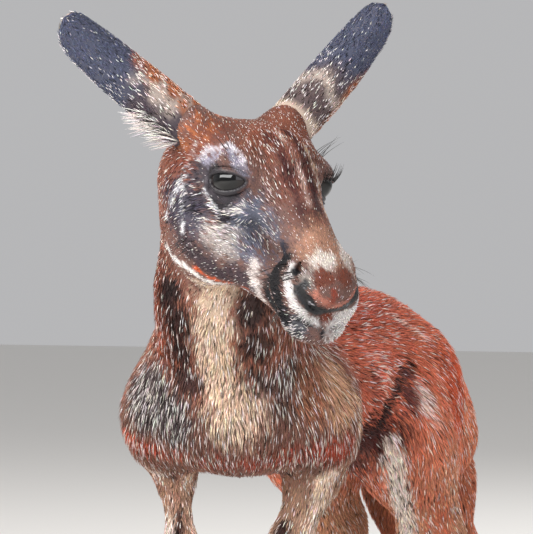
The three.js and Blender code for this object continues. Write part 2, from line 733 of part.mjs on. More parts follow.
/** Neck, chest, abdomen, rump, shoulders and thighs. */
function buildTrunk() {
  const limbs = [...bothSides(shinShapes), ...bothSides(forearmShapes)];
  const shapes = [...core(), ...tailShapes(), ...limbs, ...headShapes()];
  let body = bodyIn(shapes, [-140, -236, 236], [140, 500, 640], [38, 46, 36]);
  for (const side of SIDES) {
    body = body.subtract(shinOval(side, GAP));
    body = body.subtract(elbowBlock(side, GAP));
    let arm;
    [arm, body] = scoop(body, inChest([side * 96, -4, 362]), [46, 66, 78],
      new THREE.Quaternion().setFromRotationMatrix(chestFrame), [12, 8]);
    keep(`upper_arm_${sideName(side)}`, arm, COLOURS.grizzle);
    let thigh;
    [thigh, body] = scoop(body, legPoint([96, 272, 362], side, 0.5),
      [58, 130, 96], new THREE.Quaternion(), [10, 8]);
    keep(`thigh_${sideName(side)}`, thigh, COLOURS.rust);
  }
  const [lower, neckUp] = partAt(body, NECK_BASE.point, NECK_BASE.normal);
  const [neck] = partAt(neckUp, NECK_TOP.point, NECK_TOP.normal);
  keep('neck', neck, COLOURS.cream);
  const [chest, behindChest] = partAt(lower, [0, 100, 400], [0, 1, 0]);
  const [abdomen, behindLoin] = partAt(behindChest, [0, 225, 400], [0, 1, 0]);
  const [rump] = partAt(behindLoin, TAIL_ROOT.point, TAIL_ROOT.normal);
  keep('chest', chest, COLOURS.grizzle);
  keep('abdomen', abdomen, COLOURS.russet);
  keep('rump', rump, COLOURS.rust);
}

const TAIL_ROOT = { point: [0, 452, 310], normal: [0, 0.5, -0.86] };

/** The tail in several lengths; its thin end is meshed more finely. */
function buildTail() {
  const shapes = [...trunkShapes(), ...bothSides(thighShapes), ...tailShapes()];
  const route = new THREE.CatmullRomCurve3(TAIL_ROUTE.map(vector));
  const cut = (share) => [route.getPointAt(share).toArray(), route.getTangentAt(share).toArray()];
  const thinFrom = cut(TAIL_SHARES[1]);
  const thick = bodyIn(shapes, [-80, 330, -12], [80, 840, 330], [25, 38, 22]);
  const thin = bodyIn(shapes, [-160, 700, -12], [60, 1120, 110], [17, 36, 15]);
  let [, rest] = partAt(partAt(thick, ...thinFrom)[0], TAIL_ROOT.point, TAIL_ROOT.normal);
  let piece;
  [piece, rest] = partAt(rest, ...cut(TAIL_SHARES[0]));
  keep('tail_1', piece, COLOURS.russet);
  keep('tail_2', rest, COLOURS.russet);
  [, rest] = partAt(thin, ...thinFrom);
  [piece, rest] = partAt(rest, ...cut(TAIL_SHARES[2]));
  keep('tail_3', piece, COLOURS.russet);
  keep('tail_4', rest, COLOURS.cream);
}

const ARM_PARTS_AT = ELBOW_HEIGHT - 8;
const WRIST_PARTS_AT = WRIST_HEIGHT + 6;

/** The space that one forearm and paw fill, below the elbow. */
const elbowBlock = (side, extra) => block(
  [Math.min(side * 4, side * 150) - extra, -140 - extra, -20],
  [Math.max(side * 4, side * 150) + extra, 90 + extra, ARM_PARTS_AT + extra], chestFrame);

/** One forearm and its paw with five claws. */
function buildArm(side) {
  const name = sideName(side);
  const middle = inChest([side * 55, -8, 0]);
  const shapes = [...trunkShapes(), ...shoulderShapes(side), ...forearmShapes(side), ...pawShapes(side)];
  const armMesh = bodyIn(shapes, [middle[0] - 64, middle[1] - 66, WRIST_PARTS_AT - 30],
    [middle[0] + 64, middle[1] + 70, 350], [15, 15, 36]);
  const forearm = armMesh.intersect(elbowBlock(side, 0))
    .intersect(behind([0, 0, WRIST_PARTS_AT + GAP], [0, 0, -1]));
  keep(`forearm_${name}`, forearm, COLOURS.cream);
  const palm = inChest([side * PAW_SPREAD[side], -55, 0]);
  const pawMesh = bodyIn(shapes, [palm[0] - 62, palm[1] - 66, -12],
    [palm[0] + 62, palm[1] + 62, 90], [11, 11, 10.5]);
  const paw = solid(geometryOf(pawMesh.intersect(behind([0, 0, WRIST_PARTS_AT], [0, 0, 1]))));
  keep(`forepaw_${name}`, paw, COLOURS.grizzle);
  FINGERS.forEach((index) => {
    const { knuckle, tip } = finger(side, index);
    const direction = vector(inChest(tip)).sub(vector(inChest(knuckle))).setZ(0).normalize();
    addClaw(`claw_fore_${name}_${index + 3}`, paw, inChest(tip), direction, 22, 8.5);
  });
}

/** A claw, cut back to where it leaves its toe. */
function addClaw(name, foot, tip, direction, length, thickness) {
  const root = [tip[0], tip[1], tip[2] + 0.5];
  const shift = direction.clone().multiplyScalar(CLAW_GAP);
  const claw = clawSolid(root, direction, length, thickness)
    .subtract(foot).subtract(foot.translate(shift.toArray())).subtract(floor);
  keep(name, claw, COLOURS.claw, 0.4);
}

const ANKLE_PARTS_AT = ANKLE[2] + 14;

/** One shin and long hind foot with its claws. */
function buildLeg(side) {
  const name = sideName(side);
  const xs = [side * 16, side * 142].sort((a, b) => a - b);
  const back = side < 0 ? STRIDE : 0;
  const shapes = [...trunkShapes(), ...thighShapes(side), ...shinShapes(side), ...footShapes(side)];
  const legMesh = bodyIn(shapes, [xs[0], 134 + back, ANKLE_PARTS_AT - 40], [xs[1], 460 + back, 420],
    [23, 29, 30]);
  const shin = legMesh.intersect(shinOval(side, 0))
    .intersect(behind([0, 0, ANKLE_PARTS_AT + GAP], [0, 0, -1]));
  keep(`shin_${name}`, shin, COLOURS.rust);
  const footMesh = bodyIn(shapes, [xs[0], HEEL_Y - FOOT_LENGTH - 30 + back, -12],
    [xs[1], HEEL_Y + 30 + back, ANKLE_PARTS_AT + 30], [15, 32, 14.2]);
  const foot = solid(geometryOf(footMesh.intersect(behind([0, 0, ANKLE_PARTS_AT], [0, 0, 1]))));
  keep(`hind_foot_${name}`, foot, COLOURS.cream);
  const sizes = { fourth: [38, 19], fifth: [26, 13], third: [19, 8], second: [19, 8] };
  for (const [which, toe] of Object.entries(toes(side))) {
    const direction = vector(toe.tip).sub(vector(toe.root)).setZ(0).normalize();
    addClaw(`claw_hind_${name}_${which}`, foot, toe.tip, direction, ...sizes[which]);
  }
}

buildHead();
buildTrunk();
buildTail();
SIDES.forEach(buildArm);
SIDES.forEach(buildLeg);

// ---- The scene graph ----------------------------------------------------------------------------

const kangaroo = new THREE.Group();
kangaroo.name = 'red_kangaroo';
for (const [name, { made, colour, roughness }] of pieces) {
  const material = new THREE.MeshStandardMaterial({ color: colour, roughness, metalness: 0 });
  const mesh = new THREE.Mesh(geometryOf(made), material);
  mesh.name = name;
  kangaroo.add(mesh);
}

const bounds = new THREE.Box3().setFromObject(kangaroo);
const middle = bounds.getCenter(new THREE.Vector3());
kangaroo.position.set(-middle.x, -middle.y, 0);

export default kangaroo;
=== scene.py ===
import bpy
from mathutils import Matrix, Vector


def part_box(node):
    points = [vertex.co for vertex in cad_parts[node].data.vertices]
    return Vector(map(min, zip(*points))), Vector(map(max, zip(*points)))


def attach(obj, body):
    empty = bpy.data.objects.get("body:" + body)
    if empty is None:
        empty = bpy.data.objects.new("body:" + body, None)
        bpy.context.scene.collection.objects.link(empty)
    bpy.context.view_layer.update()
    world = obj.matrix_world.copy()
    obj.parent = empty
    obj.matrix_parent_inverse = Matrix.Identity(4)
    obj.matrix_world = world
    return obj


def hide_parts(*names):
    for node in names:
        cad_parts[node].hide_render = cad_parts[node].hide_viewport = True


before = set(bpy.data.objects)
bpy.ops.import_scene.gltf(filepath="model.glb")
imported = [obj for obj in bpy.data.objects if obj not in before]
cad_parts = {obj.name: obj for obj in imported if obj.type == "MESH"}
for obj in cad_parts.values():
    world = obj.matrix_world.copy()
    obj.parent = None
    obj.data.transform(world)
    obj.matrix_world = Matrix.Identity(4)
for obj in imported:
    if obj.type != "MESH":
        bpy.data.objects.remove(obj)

"""A red kangaroo on all fours: one smooth skin, a coat of short overlapping tufts, wet eyes and horn claws.

The skin and the lie of the coat both come from one distance field of tapered limbs and ovals. Sizes are in
millimetres in the animal's own frame: the floor between the elbows is the origin, the trunk lies along Y
with the chest toward -Y, the animal's left is +X, and +Z is up.
"""
import logging
import math
from dataclasses import dataclass, field
from enum import Enum
from typing import Callable, Iterable, Sequence

import bpy
import numpy as np

log = logging.getLogger("kangaroo")
logging.basicConfig(level=logging.INFO, format="%(message)s")

Array = np.ndarray
Triple = tuple[float, float, float]
Spot = Sequence[float]
Route = Sequence[Sequence[float]]
Piece = bpy.types.Object
Finish = bpy.types.Material
Socket = bpy.types.NodeSocket
Field = Callable[[Array], Array]  # a value for each of many points

MM = 0.001
FLOOR_GAP = 0.0002  # metres between the floor and the lowest points
FLATTEST = 0.2  # the least squared slope that a step toward the skin divides by


class Side(Enum):
    """Which side of the animal, with the sign of its X."""

    RIGHT = -1
    LEFT = 1

    @property
    def word(self) -> str:
        """The side's name in node names."""
        return self.name.lower()


# ---- Frames ----


def turned(yaw: float, pitch: float = 0.0) -> Array:
    """A turn about Z after a turn about X.

    Args:
        yaw: Degrees about Z.
        pitch: Degrees about X.

    Returns:
        A 3 x 3 matrix whose columns are the turned axes.
    """
    a, b = math.radians(yaw), math.radians(pitch)
    about_z = np.array([[math.cos(a), -math.sin(a), 0], [math.sin(a), math.cos(a), 0], [0, 0, 1]])
    about_x = np.array([[1, 0, 0], [0, math.cos(b), -math.sin(b)], [0, math.sin(b), math.cos(b)]])
    return about_z @ about_x


@dataclass(frozen=True, eq=False)
class Place:
    """A turned frame inside the animal's own frame."""

    at: Array
    axes: Array

    def point(self, local: Spot) -> Array:
        """The animal-frame place of a local point."""
        return self.at + self.axes @ np.asarray(local, float)

    def points(self, local: Array) -> Array:
        """The animal-frame places of many local points."""
        return self.at + local @ self.axes.T

    def direction(self, local: Spot) -> Array:
        """The animal-frame direction of a local one, at unit length."""
        way = self.axes @ np.asarray(local, float)
        return way / np.linalg.norm(way)


BODY = Place(np.zeros(3), np.eye(3))
CHEST = Place(np.zeros(3), turned(16))  # the forequarters turn a little toward the animal's left
HEAD = Place(np.array([113.0, -185.0, 588.0]), turned(64, 46))  # midway between the eyes; -Y is the nose
EYE_AT = (42.0, 2.0, 0.0)  # the left eye, in the head's frame


def animal_origin() -> Array:
    """Where the animal's own origin lies in the part's frame, in millimetres, found from its eyes."""
    middle = np.mean([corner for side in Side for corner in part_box(f"eye_{side.word}")], axis=0) / MM
    return middle - HEAD.point((0.0, EYE_AT[1], EYE_AT[2]))


ORIGIN = animal_origin()


def to_metres(points: Array) -> Array:
    """Points of the animal's frame as metres in the part's frame, never below the floor.

    Args:
        points: Places in the animal's frame.

    Returns:
        The same places as rows of X, Y and Z.
    """
    placed = (np.asarray(points, float) + ORIGIN) * MM
    placed[:, 2] = np.maximum(placed[:, 2], FLOOR_GAP)
    return placed


# ---- Colours and noise ----


def linear(code: str) -> Array:
    """An sRGB hex colour as linear red, green and blue."""
    value = np.array([int(code[i:i + 2], 16) for i in (1, 3, 5)]) / 255.0
    return np.where(value <= 0.04045, value / 12.92, ((value + 0.055) / 1.055) ** 2.4)


def ripple(points: Array, wavelength: float, seed: int) -> Array:
    """A smooth noise between about -1 and 1.

    Args:
        points: Where it is read, in millimetres.
        wavelength: Its main wavelength, in millimetres.
        seed: Which noise of the family.

    Returns:
        One value for each point.
    """
    rng = np.random.default_rng(seed)
    total = np.zeros(len(points))
    waves = 7
    for _ in range(waves):
        way = rng.normal(size=3)
        way *= 2 * math.pi / (np.linalg.norm(way) * wavelength * rng.uniform(0.6, 1.6))
        total += np.sin(points @ way + rng.uniform(0, 2 * math.pi))
    return total / math.sqrt(waves) / 1.2


def smoothstep(value: Array) -> Array:
    """0 below 0, 1 above 1, and smooth between."""
    t = np.clip(value, 0, 1)
    return t * t * (3 - 2 * t)


def unit(vectors: Array) -> Array:
    """Vectors at unit length."""
    return vectors / (np.linalg.norm(vectors, axis=-1, keepdims=True) + 1e-9)


# ---- The pelt ----


@dataclass(frozen=True)
class Pelt:
    """The fur of one region, with its sizes in millimetres."""

    piece: str  # the coat piece that it goes to
    tint: str  # its ground colour
    length: float  # of a tuft
    width: float
    depth: float  # how far the skin lies inside the coat's tips
    spacing: float  # between neighbouring tufts
    frost: float = 0.1  # share of pale tufts
    lift: float = 0.16  # how far tips stand off, as a share of the length
    slot: str = "rust_fur"


class Region(Enum):
    """The parts of the body whose fur differs."""

    FACE = Pelt("head", "#6e5048", 6.2, 0.95, 1.3, 1.65, 0.12, 0.1, "head_fur")
    NECK = Pelt("neck", "#8a5848", 12.0, 1.4, 3.5, 2.4, 0.14, 0.18, "cream_fur")
    CHEST = Pelt("chest", "#7b584c", 12.0, 1.3, 4.0, 2.25, 0.15, 0.18, "grizzled_fur")
    BARREL = Pelt("barrel", "#c4664c", 14.0, 1.6, 4.5, 3.0, 0.1, 0.16)
    RUMP = Pelt("rump", "#c86b4e", 14.0, 1.7, 4.5, 3.2, 0.1, 0.16)
    THIGH = Pelt("thighs", "#d6795b", 12.5, 1.6, 4.0, 2.8, 0.12, 0.16)
    TAIL = Pelt("tail", "#c07254", 12.0, 1.7, 3.2, 3.2, 0.08, 0.16)
    SHIN = Pelt("shins", "#bf8a6c", 10.0, 1.6, 2.6, 2.9, 0.14, 0.15)
    FOOT = Pelt("feet", "#7c6456", 6.5, 1.4, 1.6, 2.7, 0.1, 0.14, "foot_fur")
    FOREARM = Pelt("forearms", "#9a7864", 9.5, 1.5, 2.4, 2.6, 0.14, 0.15, "cream_fur")
    PAW = Pelt("paws", "#4c3d39", 5.5, 1.2, 1.5, 2.2, 0.05, 0.15, "foot_fur")
    EAR = Pelt("ears", "#5c5260", 6.5, 1.2, 1.2, 2.1, 0.22, 0.12, "ear_fur")


REGIONS = list(Region)

# ---- Shapes ----


@dataclass(frozen=True, eq=False)
class Limb:
    """A tapered rod with round ends."""

    start: Array
    end: Array
    start_radius: float
    end_radius: float
    blend: float = 10.0
    region: Region = Region.RUMP
    lie: Array | None = None

    @property
    def axis(self) -> tuple[Array, Array]:
        """A point on its axis and its direction."""
        return self.start, unit(self.end - self.start)

    def distance(self, points: Array) -> Array:
        """Distance of each point from the surface, negative inside.

        Args:
            points: Places in the animal's frame.

        Returns:
            One distance for each.
        """
        along = self.end - self.start
        t = np.clip((points - self.start) @ along / (along @ along + 1e-9), 0, 1)
        off = points - self.start - t[:, None] * along
        return np.sqrt((off * off).sum(1)) - (self.start_radius + (self.end_radius - self.start_radius) * t)


@dataclass(frozen=True, eq=False)
class Oval:
    """An oval of three radii along three axes."""

    centre: Array
    radii: Triple
    blend: float = 10.0
    region: Region = Region.RUMP
    lie: Array | None = None
    axes: Array = field(default_factory=lambda: np.eye(3))

    @property
    def axis(self) -> tuple[Array, Array]:
        """A point on its longest axis and that axis's direction."""
        return self.centre, self.axes[:, int(np.argmax(self.radii))]

    def distance(self, points: Array) -> Array:
        """Distance of each point from the surface, nearly, negative inside.

        Args:
            points: Places in the animal's frame.

        Returns:
            One distance for each.
        """
        local = (points - self.centre) @ self.axes / np.array(self.radii)
        size = np.sqrt((local * local).sum(1))
        slope = np.sqrt(((local / np.array(self.radii)) ** 2).sum(1))
        return np.where(slope > 1e-9, size * (size - 1) / np.maximum(slope, 1e-9), -min(self.radii))


Shape = Limb | Oval
Shapes = list[Shape]


@dataclass(frozen=True)
class Maker:
    """Makes shapes in one place, of one region, with one lie of the coat."""

    place: Place
    region: Region
    lie: Triple

    def oval(self, centre: Spot, radii: Triple, blend: float, pitch: float = 0.0) -> Oval:
        """An oval, pitched about the place's X."""
        axes = self.place.axes @ turned(0, pitch)
        return Oval(self.place.point(centre), radii, blend, self.region, self.place.direction(self.lie), axes)

    def limb(self, a: Spot, b: Spot, ra: float, rb: float, blend: float) -> Limb:
        """A tapered limb whose coat lies as this maker's does."""
        return Limb(self.place.point(a), self.place.point(b), ra, rb, blend, self.region,
                    self.place.direction(self.lie))

    def down(self, a: Spot, b: Spot, ra: float, rb: float, blend: float) -> Limb:
        """A tapered limb whose coat lies from its start to its end."""
        start, end = self.place.point(a), self.place.point(b)
        return Limb(start, end, ra, rb, blend, self.region, unit(end - start))


def blended(a: Array, b: Array, width: float) -> Array:
    """The smooth minimum of two distances."""
    share = np.maximum(width - np.abs(a - b), 0) / width
    return np.minimum(a, b) - share * share * width / 4


def mixed(a: Spot, b: Spot, t: float) -> list[float]:
    """The point a share of the way from a to b."""
    return [p + (q - p) * t for p, q in zip(a, b)]


@dataclass(frozen=True)
class Anatomy:
    """The driving sizes of the animal, in millimetres, and the shapes that they give."""

    arm_spread: float = 68
    paw_spread: tuple[float, float] = (40, 31)  # right, left
    elbow_height: float = 322
    wrist_height: float = 48
    leg_spread: float = 70
    stride: float = 68
    right_leg_in: float = 0.88
    hip: Triple = (44, 294, 386)
    knee: Triple = (78, 212, 350)
    ankle: Triple = (70, 424, 74)
    foot_length: float = 300
    tail_route: tuple = (
        (0, 418, 384), (0, 462, 284), (0, 518, 182), (0, 600, 92),
        (-6, 716, 42), (-24, 850, 28), (-54, 975, 19), (-94, 1085, 11),
    )
    tail_radii: tuple = (58, 54, 48, 42, 35, 27, 19, 12)

    def trunk(self) -> Shapes:
        """Ribs, breast, belly, loin and rump.

        Returns:
            Its shapes, in blending order.
        """
        barrel = Maker(BODY, Region.BARREL, (0, 0.96, -0.28))
        rump = Maker(BODY, Region.RUMP, (0, 0.9, -0.42))
        chest = Maker(CHEST, Region.CHEST, (0, 0.25, -0.97))
        return [
            barrel.oval((2, 90, 406), (92, 160, 78), 40, 4),
            barrel.oval((0, 205, 404), (86, 160, 79), 50, 4),
            rump.oval((0, 278, 402), (80, 103, 78), 60, -10),
            chest.oval((0, -28, 400), (82, 82, 68), 45),
            chest.oval((0, -44, 376), (82, 58, 34), 30),
            barrel.limb((4, 10, 432), (0, 270, 432), 38, 38, 50),
        ]

    def neck(self) -> Shapes:
        """Chest to nape.

        Returns:
            Its shapes.
        """
        maker = Maker(BODY, Region.NECK, (-0.2, 0.3, -0.93))
        base, middle = (8, -42, 424), (36, -108, 492)
        nape = HEAD.point((-14, 40, -40))
        return [
            maker.limb((2, 0, 412), base, 66, 60, 40),
            maker.limb(base, middle, 60, 57, 50),
            maker.limb(middle, nape, 57, 54, 40),
        ]

    def shoulder(self, side: Side) -> Shapes:
        """The shoulder's mass and the folded upper arm.

        Args:
            side: Which side.

        Returns:
            Its shapes.
        """
        maker = Maker(CHEST, Region.CHEST, (0, 0.35, -0.94))
        s = side.value
        return [
            maker.oval((s * 65, -10, 385), (42, 62, 50), 30),
            maker.limb((s * 71, -16, 376), (s * 72, 14, 358), 31, 27, 28),
        ]

    def forearm(self, side: Side) -> Shapes:
        """Elbow to wrist.

        Args:
            side: Which side.

        Returns:
            Its shapes.
        """
        maker = Maker(CHEST, Region.FOREARM, (0, 0.1, -1))
        s = side.value
        build, lean, lower_lean = (0.72, 0, 9) if side is Side.RIGHT else (1.04, 5, 25)
        elbow = (s * (self.arm_spread - lean), 26, self.elbow_height)
        belly = (s * (self.arm_spread - lower_lean), 8, self.elbow_height - 62)
        wrist = (self.paw_x(side), -26, self.wrist_height)
        return [
            maker.down((s * (self.arm_spread + 2), 4, 354), elbow, 27, 22 * build, 26),
            maker.down(elbow, belly, 22 * build, 18 * build, 20),
            maker.down(belly, wrist, 18 * build, 13.5 * build, 18),
        ]

    def paw_x(self, side: Side) -> float:
        """How far to the left a paw stands, in the chest's frame."""
        return side.value * self.paw_spread[side is Side.LEFT]

    def finger(self, side: Side, index: int) -> tuple[list[float], list[float]]:
        """Knuckle and tip of one finger, in the chest's frame.

        Args:
            side: Which side.
            index: From -2 to 2.

        Returns:
            Two points.
        """
        fan = index * 0.17
        reach = 40 - 5 * abs(index)
        knuckle = [self.paw_x(side) + index * 8.5, -58 + 2.5 * abs(index), 13]
        tip = [knuckle[0] + math.sin(fan) * reach, knuckle[1] - math.cos(fan) * reach, 8]
        return knuckle, tip

    def paw(self, side: Side) -> Shapes:
        """Heel of the hand, palm and five fingers.

        Args:
            side: Which side.

        Returns:
            Its shapes.
        """
        maker = Maker(CHEST, Region.PAW, (0, -1, -0.2))
        x = self.paw_x(side)
        fingers = [maker.down(*self.finger(side, index), 10, 8, 7) for index in range(-2, 3)]
        return [
            maker.down((x, -27, self.wrist_height), (x, -36, 18), 16, 17, 14),
            maker.oval((x, -48, 15), (25, 24, 16), 12),
            *fingers,
        ]

    def leg_point(self, point: Spot, side: Side, share: float = 1.0) -> list[float]:
        """A point of one hind leg; the right leg stands further back and a little further in.

        Args:
            point: Its place in the left leg.
            side: Which side.
            share: How far it follows the right leg's stride.

        Returns:
            The point on that side.
        """
        x, y, z = point
        if side is Side.LEFT:
            return [x, y, z]
        return [-x * (1 + (self.right_leg_in - 1) * share), y + self.stride * share, z]

    def thigh(self, side: Side) -> Shapes:
        """Thigh and buttock, folded against the flank.

        Args:
            side: Which side.

        Returns:
            Its shapes.
        """
        maker = Maker(BODY, Region.THIGH, (0, 0.35, -0.94))

        def at(point: Spot, share: float = 1.0) -> list[float]:
            """A point of this side's leg."""
            return self.leg_point(point, side, share)

        return [
            maker.limb(at(self.hip, 0), at(self.knee), 52, 40, 40),
            maker.oval(at((60, 264, 370), 0.4), (37, 108, 72), 40, 10),
            maker.oval(at((42, 360, 356), 0), (40, 47, 66), 40, -10),
            maker.limb(at((58, 352, 338), 0.3), at((66, 250, 318), 0.7), 43, 37, 36),
        ]

    def shin(self, side: Side) -> Shapes:
        """Knee to ankle: tibia in front, calf behind.

        Args:
            side: Which side.

        Returns:
            Its shapes.
        """
        maker = Maker(BODY, Region.SHIN, (0, 0.5, -0.87))
        calf = mixed(self.knee, self.ankle, 0.4)
        calf_back = [calf[0] - 2, calf[1] + 22, calf[2]]
        knee, ankle = self.knee, self.ankle

        def at(point: Spot) -> list[float]:
            """A point of this side's leg."""
            return self.leg_point(point, side)

        return [
            maker.down(at((knee[0], knee[1] + 14, knee[2] - 10)), at(calf), 35, 27, 30),
            maker.down(at(calf), at(ankle), 27, 19, 26),
            maker.down(at((knee[0] - 4, knee[1] + 44, knee[2] - 18)), at(calf_back), 31, 24, 26),
            maker.down(at(calf_back), at((ankle[0], ankle[1] + 8, 128)), 24, 12, 22),
        ]

    @property
    def heel_y(self) -> float:
        """How far back the left heel is."""
        return self.ankle[1] + 28

    def toes(self, side: Side) -> dict[str, tuple[list[float], list[float], float, float]]:
        """Root, tip and two radii of each toe of a hind foot.

        Args:
            side: Which side.

        Returns:
            One entry for each toe, by name.
        """
        front = self.heel_y - self.foot_length

        def toe(across: tuple[float, float], start: float, end: float, thick: float, thin: float) -> tuple:
            """One toe, by how far out and back its root and tip lie, and its thickness at each."""
            root, tip = (self.leg_point((self.leg_spread + x, front + y, z), side)
                         for x, y, z in ((across[0], start, thick + 1), (across[1], end, thin)))
            return root, tip, thick, thin

        return {
            "fourth": toe((4, 8), 92, 12, 17, 12),
            "fifth": toe((21, 33), 92, 44, 12, 9),
            "third": toe((-14, -17), 88, 52, 8, 6.5),
            "second": toe((-21, -27), 92, 54, 7.5, 6),
        }

    def foot(self, side: Side) -> Shapes:
        """One long hind foot lying flat.

        Args:
            side: Which side.

        Returns:
            Its shapes.
        """
        maker = Maker(BODY, Region.FOOT, (0, -1, -0.1))
        spread = self.leg_spread
        heel = self.leg_point((spread, self.heel_y - 24, 22), side)
        ball = self.leg_point((spread + 4, self.heel_y - self.foot_length + 96, 20), side)
        return [
            maker.down(self.leg_point(self.ankle, side),
                       self.leg_point((spread, self.heel_y - 22, 28), side), 22, 24, 22),
            maker.down(heel, ball, 24, 22, 20),
            *[maker.down(root, tip, thick, thin, 8) for root, tip, thick, thin in self.toes(side).values()],
        ]

    def tail(self) -> Shapes:
        """The tail drops from the rump and lies along the floor.

        Returns:
            Its shapes.
        """
        maker = Maker(BODY, Region.TAIL, (0, 1, 0))
        route, radii = self.tail_route, self.tail_radii
        return [maker.down(route[i], route[i + 1], radii[i], radii[i + 1], 46 - 5 * i)
                for i in range(len(route) - 1)]

    def head(self) -> Shapes:
        """Skull, muzzle, cheeks, jaw, brows and the roots of the ears.

        Returns:
            Its shapes.
        """
        crown = Maker(HEAD, Region.FACE, (0, 1, 0.1))
        cheek = Maker(HEAD, Region.FACE, (0, 0.86, -0.5))
        pairs: Shapes = []
        for side in Side:
            s = side.value
            root = Ear(side).point(0.1)
            pairs += [
                cheek.oval((s * 31, 30, -20), (25, 42, 37), 22),
                cheek.oval((s * 38, 0, -14), (16, 30, 14), 16),
                crown.oval((s * 33, 10, 14), (14, 21, 9), 14),
                cheek.oval((s * 33, 0, -66), (27, 46, 40), 16),
                cheek.limb((0, -86, -46), (s * 28, -8, -60), 19, 28, 14),
                cheek.oval((s * 21, -101, -26), (20, 28, 20), 12),
                crown.limb((s * 28, 31, -4), root, 20, 19, 18),
            ]
        return [
            crown.oval((0, 14, -4), (43, 50, 39), 20),
            crown.limb((0, 2, 2), (-1, -84, -4), 31, 22, 22),
            crown.oval((-2, -103, -11), (31, 31, 24), 14),
            cheek.oval((2, -115, -45), (30, 25, 19), 10),
            *pairs,
        ]

    def shapes(self) -> Shapes:
        """Every shape of the animal, in the order in which they blend.

        Returns:
            All of them.
        """

        def both(*parts: Callable[[Side], Shapes]) -> Shapes:
            """Each part on both sides."""
            return [shape for part in parts for side in Side for shape in part(side)]

        return [*self.trunk(), *self.neck(), *both(self.shoulder, self.thigh), *self.tail(),
                *both(self.shin, self.forearm, self.paw, self.foot), *self.head()]


# ---- Ears ----


@dataclass(frozen=True)
class Ear:
    """One ear: a curled leaf, closed like a tube at its root and open like a trough toward its tip."""

    side: Side
    length: float = 157
    start: float = 0.1  # share of the length where its sheet begins, inside the head
    rows: int = 44
    columns: int = 30

    @property
    def root(self) -> Triple:
        """Middle of the root in the head's frame."""
        return (-46, 47, 4) if self.side is Side.RIGHT else (20, 44, 8)

    def axes(self) -> tuple[Array, Array, Array]:
        """Along the ear, out of its open side, and across, in the head's frame.

        Returns:
            Three unit vectors.
        """
        right = self.side is Side.RIGHT
        along = unit(np.array((-0.71, 0.64, 0.18) if right else (0.656, 0.399, 0.642)))
        facing = np.array((0.42, 0.5, -0.75) if right else (0.66, 0.18, -0.66))
        facing = unit(facing - facing @ along * along)
        return along, facing, np.cross(facing, along)

    def point(self, share: float) -> Array:
        """A point of its axis, in the head's frame."""
        return np.array(self.root) + self.axes()[0] * share * self.length

    @staticmethod
    def half(t: Array, s: Array) -> Array:
        """Half the leaf's thickness: thick at the root, thin at tip and rim."""
        return np.maximum(0.4, (2.6 - 1.3 * t) * (1 - 0.45 * np.abs(s)) - 1.2)

    def sheet(self, t: Array, s: Array, lift: Array | float) -> Array:
        """Points of the leaf in the animal's frame.

        Args:
            t: 0 at the root to 1 at the tip.
            s: -1 to 1 across the leaf, 0 along the middle of its back.
            lift: How far off the middle of the leaf, outward from its back.

        Returns:
            One point for each t and s.
        """
        along, facing, across = self.axes()
        toward_tip = np.maximum(0, (t - 0.72) / 0.28)
        taper = np.sqrt(np.maximum(0.004, 1 - toward_tip ** 2))
        curl = (2.75 + (1.35 - 2.75) * np.minimum(1, t * 1.4)) * taper
        radius = 19.5 + 6 * t - 7.5 * t * t
        angle = s * curl
        reach = self.start + (1 - self.start) * t
        r = radius + lift
        local = (np.array(self.root) + (reach * self.length)[:, None] * along
                 + (radius * 0.55 - r * np.cos(angle))[:, None] * facing
                 + (r * np.sin(angle))[:, None] * across)
        return HEAD.points(local)

    def tint(self, t: Array, s: Array, outer: bool) -> Array:
        """Colours of the leaf: slate toward the tip, rust and cream toward the root.

        Args:
            t: Along the leaf.
            s: Across it.
            outer: Whether this is the back of the ear.

        Returns:
            Linear colours.
        """
        places = np.stack([t * 160, s * 30, np.zeros_like(t)], 1)
        wave = ripple(places, 22, 5 + self.side.value)
        slate, brown, rust = linear("#484c60"), linear("#5c4c4c"), linear("#a8623c")
        cream, pale = linear("#b7a79c"), linear("#cdb8a6")
        if not outer:
            inner = smoothstep(t * 1.6)[:, None]
            return pale * (1 - 0.35 * inner) + linear("#8b7876") * 0.35 * inner
        far = smoothstep((t - 0.34 + 0.05 * wave - 0.1 * s) / 0.2)[:, None]
        if self.side is Side.RIGHT:
            rim = smoothstep((s + 0.05 + 0.15 * wave) / 0.2)[:, None]
            near = linear("#4a4047") * (1 - rim) + rust * rim
            streak = smoothstep((0.16 - np.abs(s - 0.02 - 0.2 * wave)) / 0.16)
            near = near + (cream - near) * streak[:, None]
        else:
            band = smoothstep(1 - np.abs(t - 0.33 + 0.05 * wave) / 0.1)[:, None]
            edge = smoothstep((np.abs(s) - 0.55) / 0.3)[:, None]
            near = brown + (rust - brown) * edge
            near = near + (cream - near) * band * (1 - 0.5 * edge)
            near = near + (pale - near) * smoothstep((0.16 - t) / 0.06)[:, None] * (1 - edge)
        rimmed = smoothstep((np.abs(s) - 0.86) / 0.1)[:, None]
        colour = near + (slate - near) * far
        return colour + (linear("#6b4436") - colour) * rimmed * 0.6 * (1 - far)


# ---- The body as one field ----


@dataclass(frozen=True, eq=False)
class Hollow:
    """A soft-edged cut into the skin."""

    shapes: Shapes
    blend: float

    def distance(self, points: Array) -> Array:
        """Distance from the nearest of its shapes."""
        return np.min([shape.distance(points) for shape in self.shapes], axis=0)


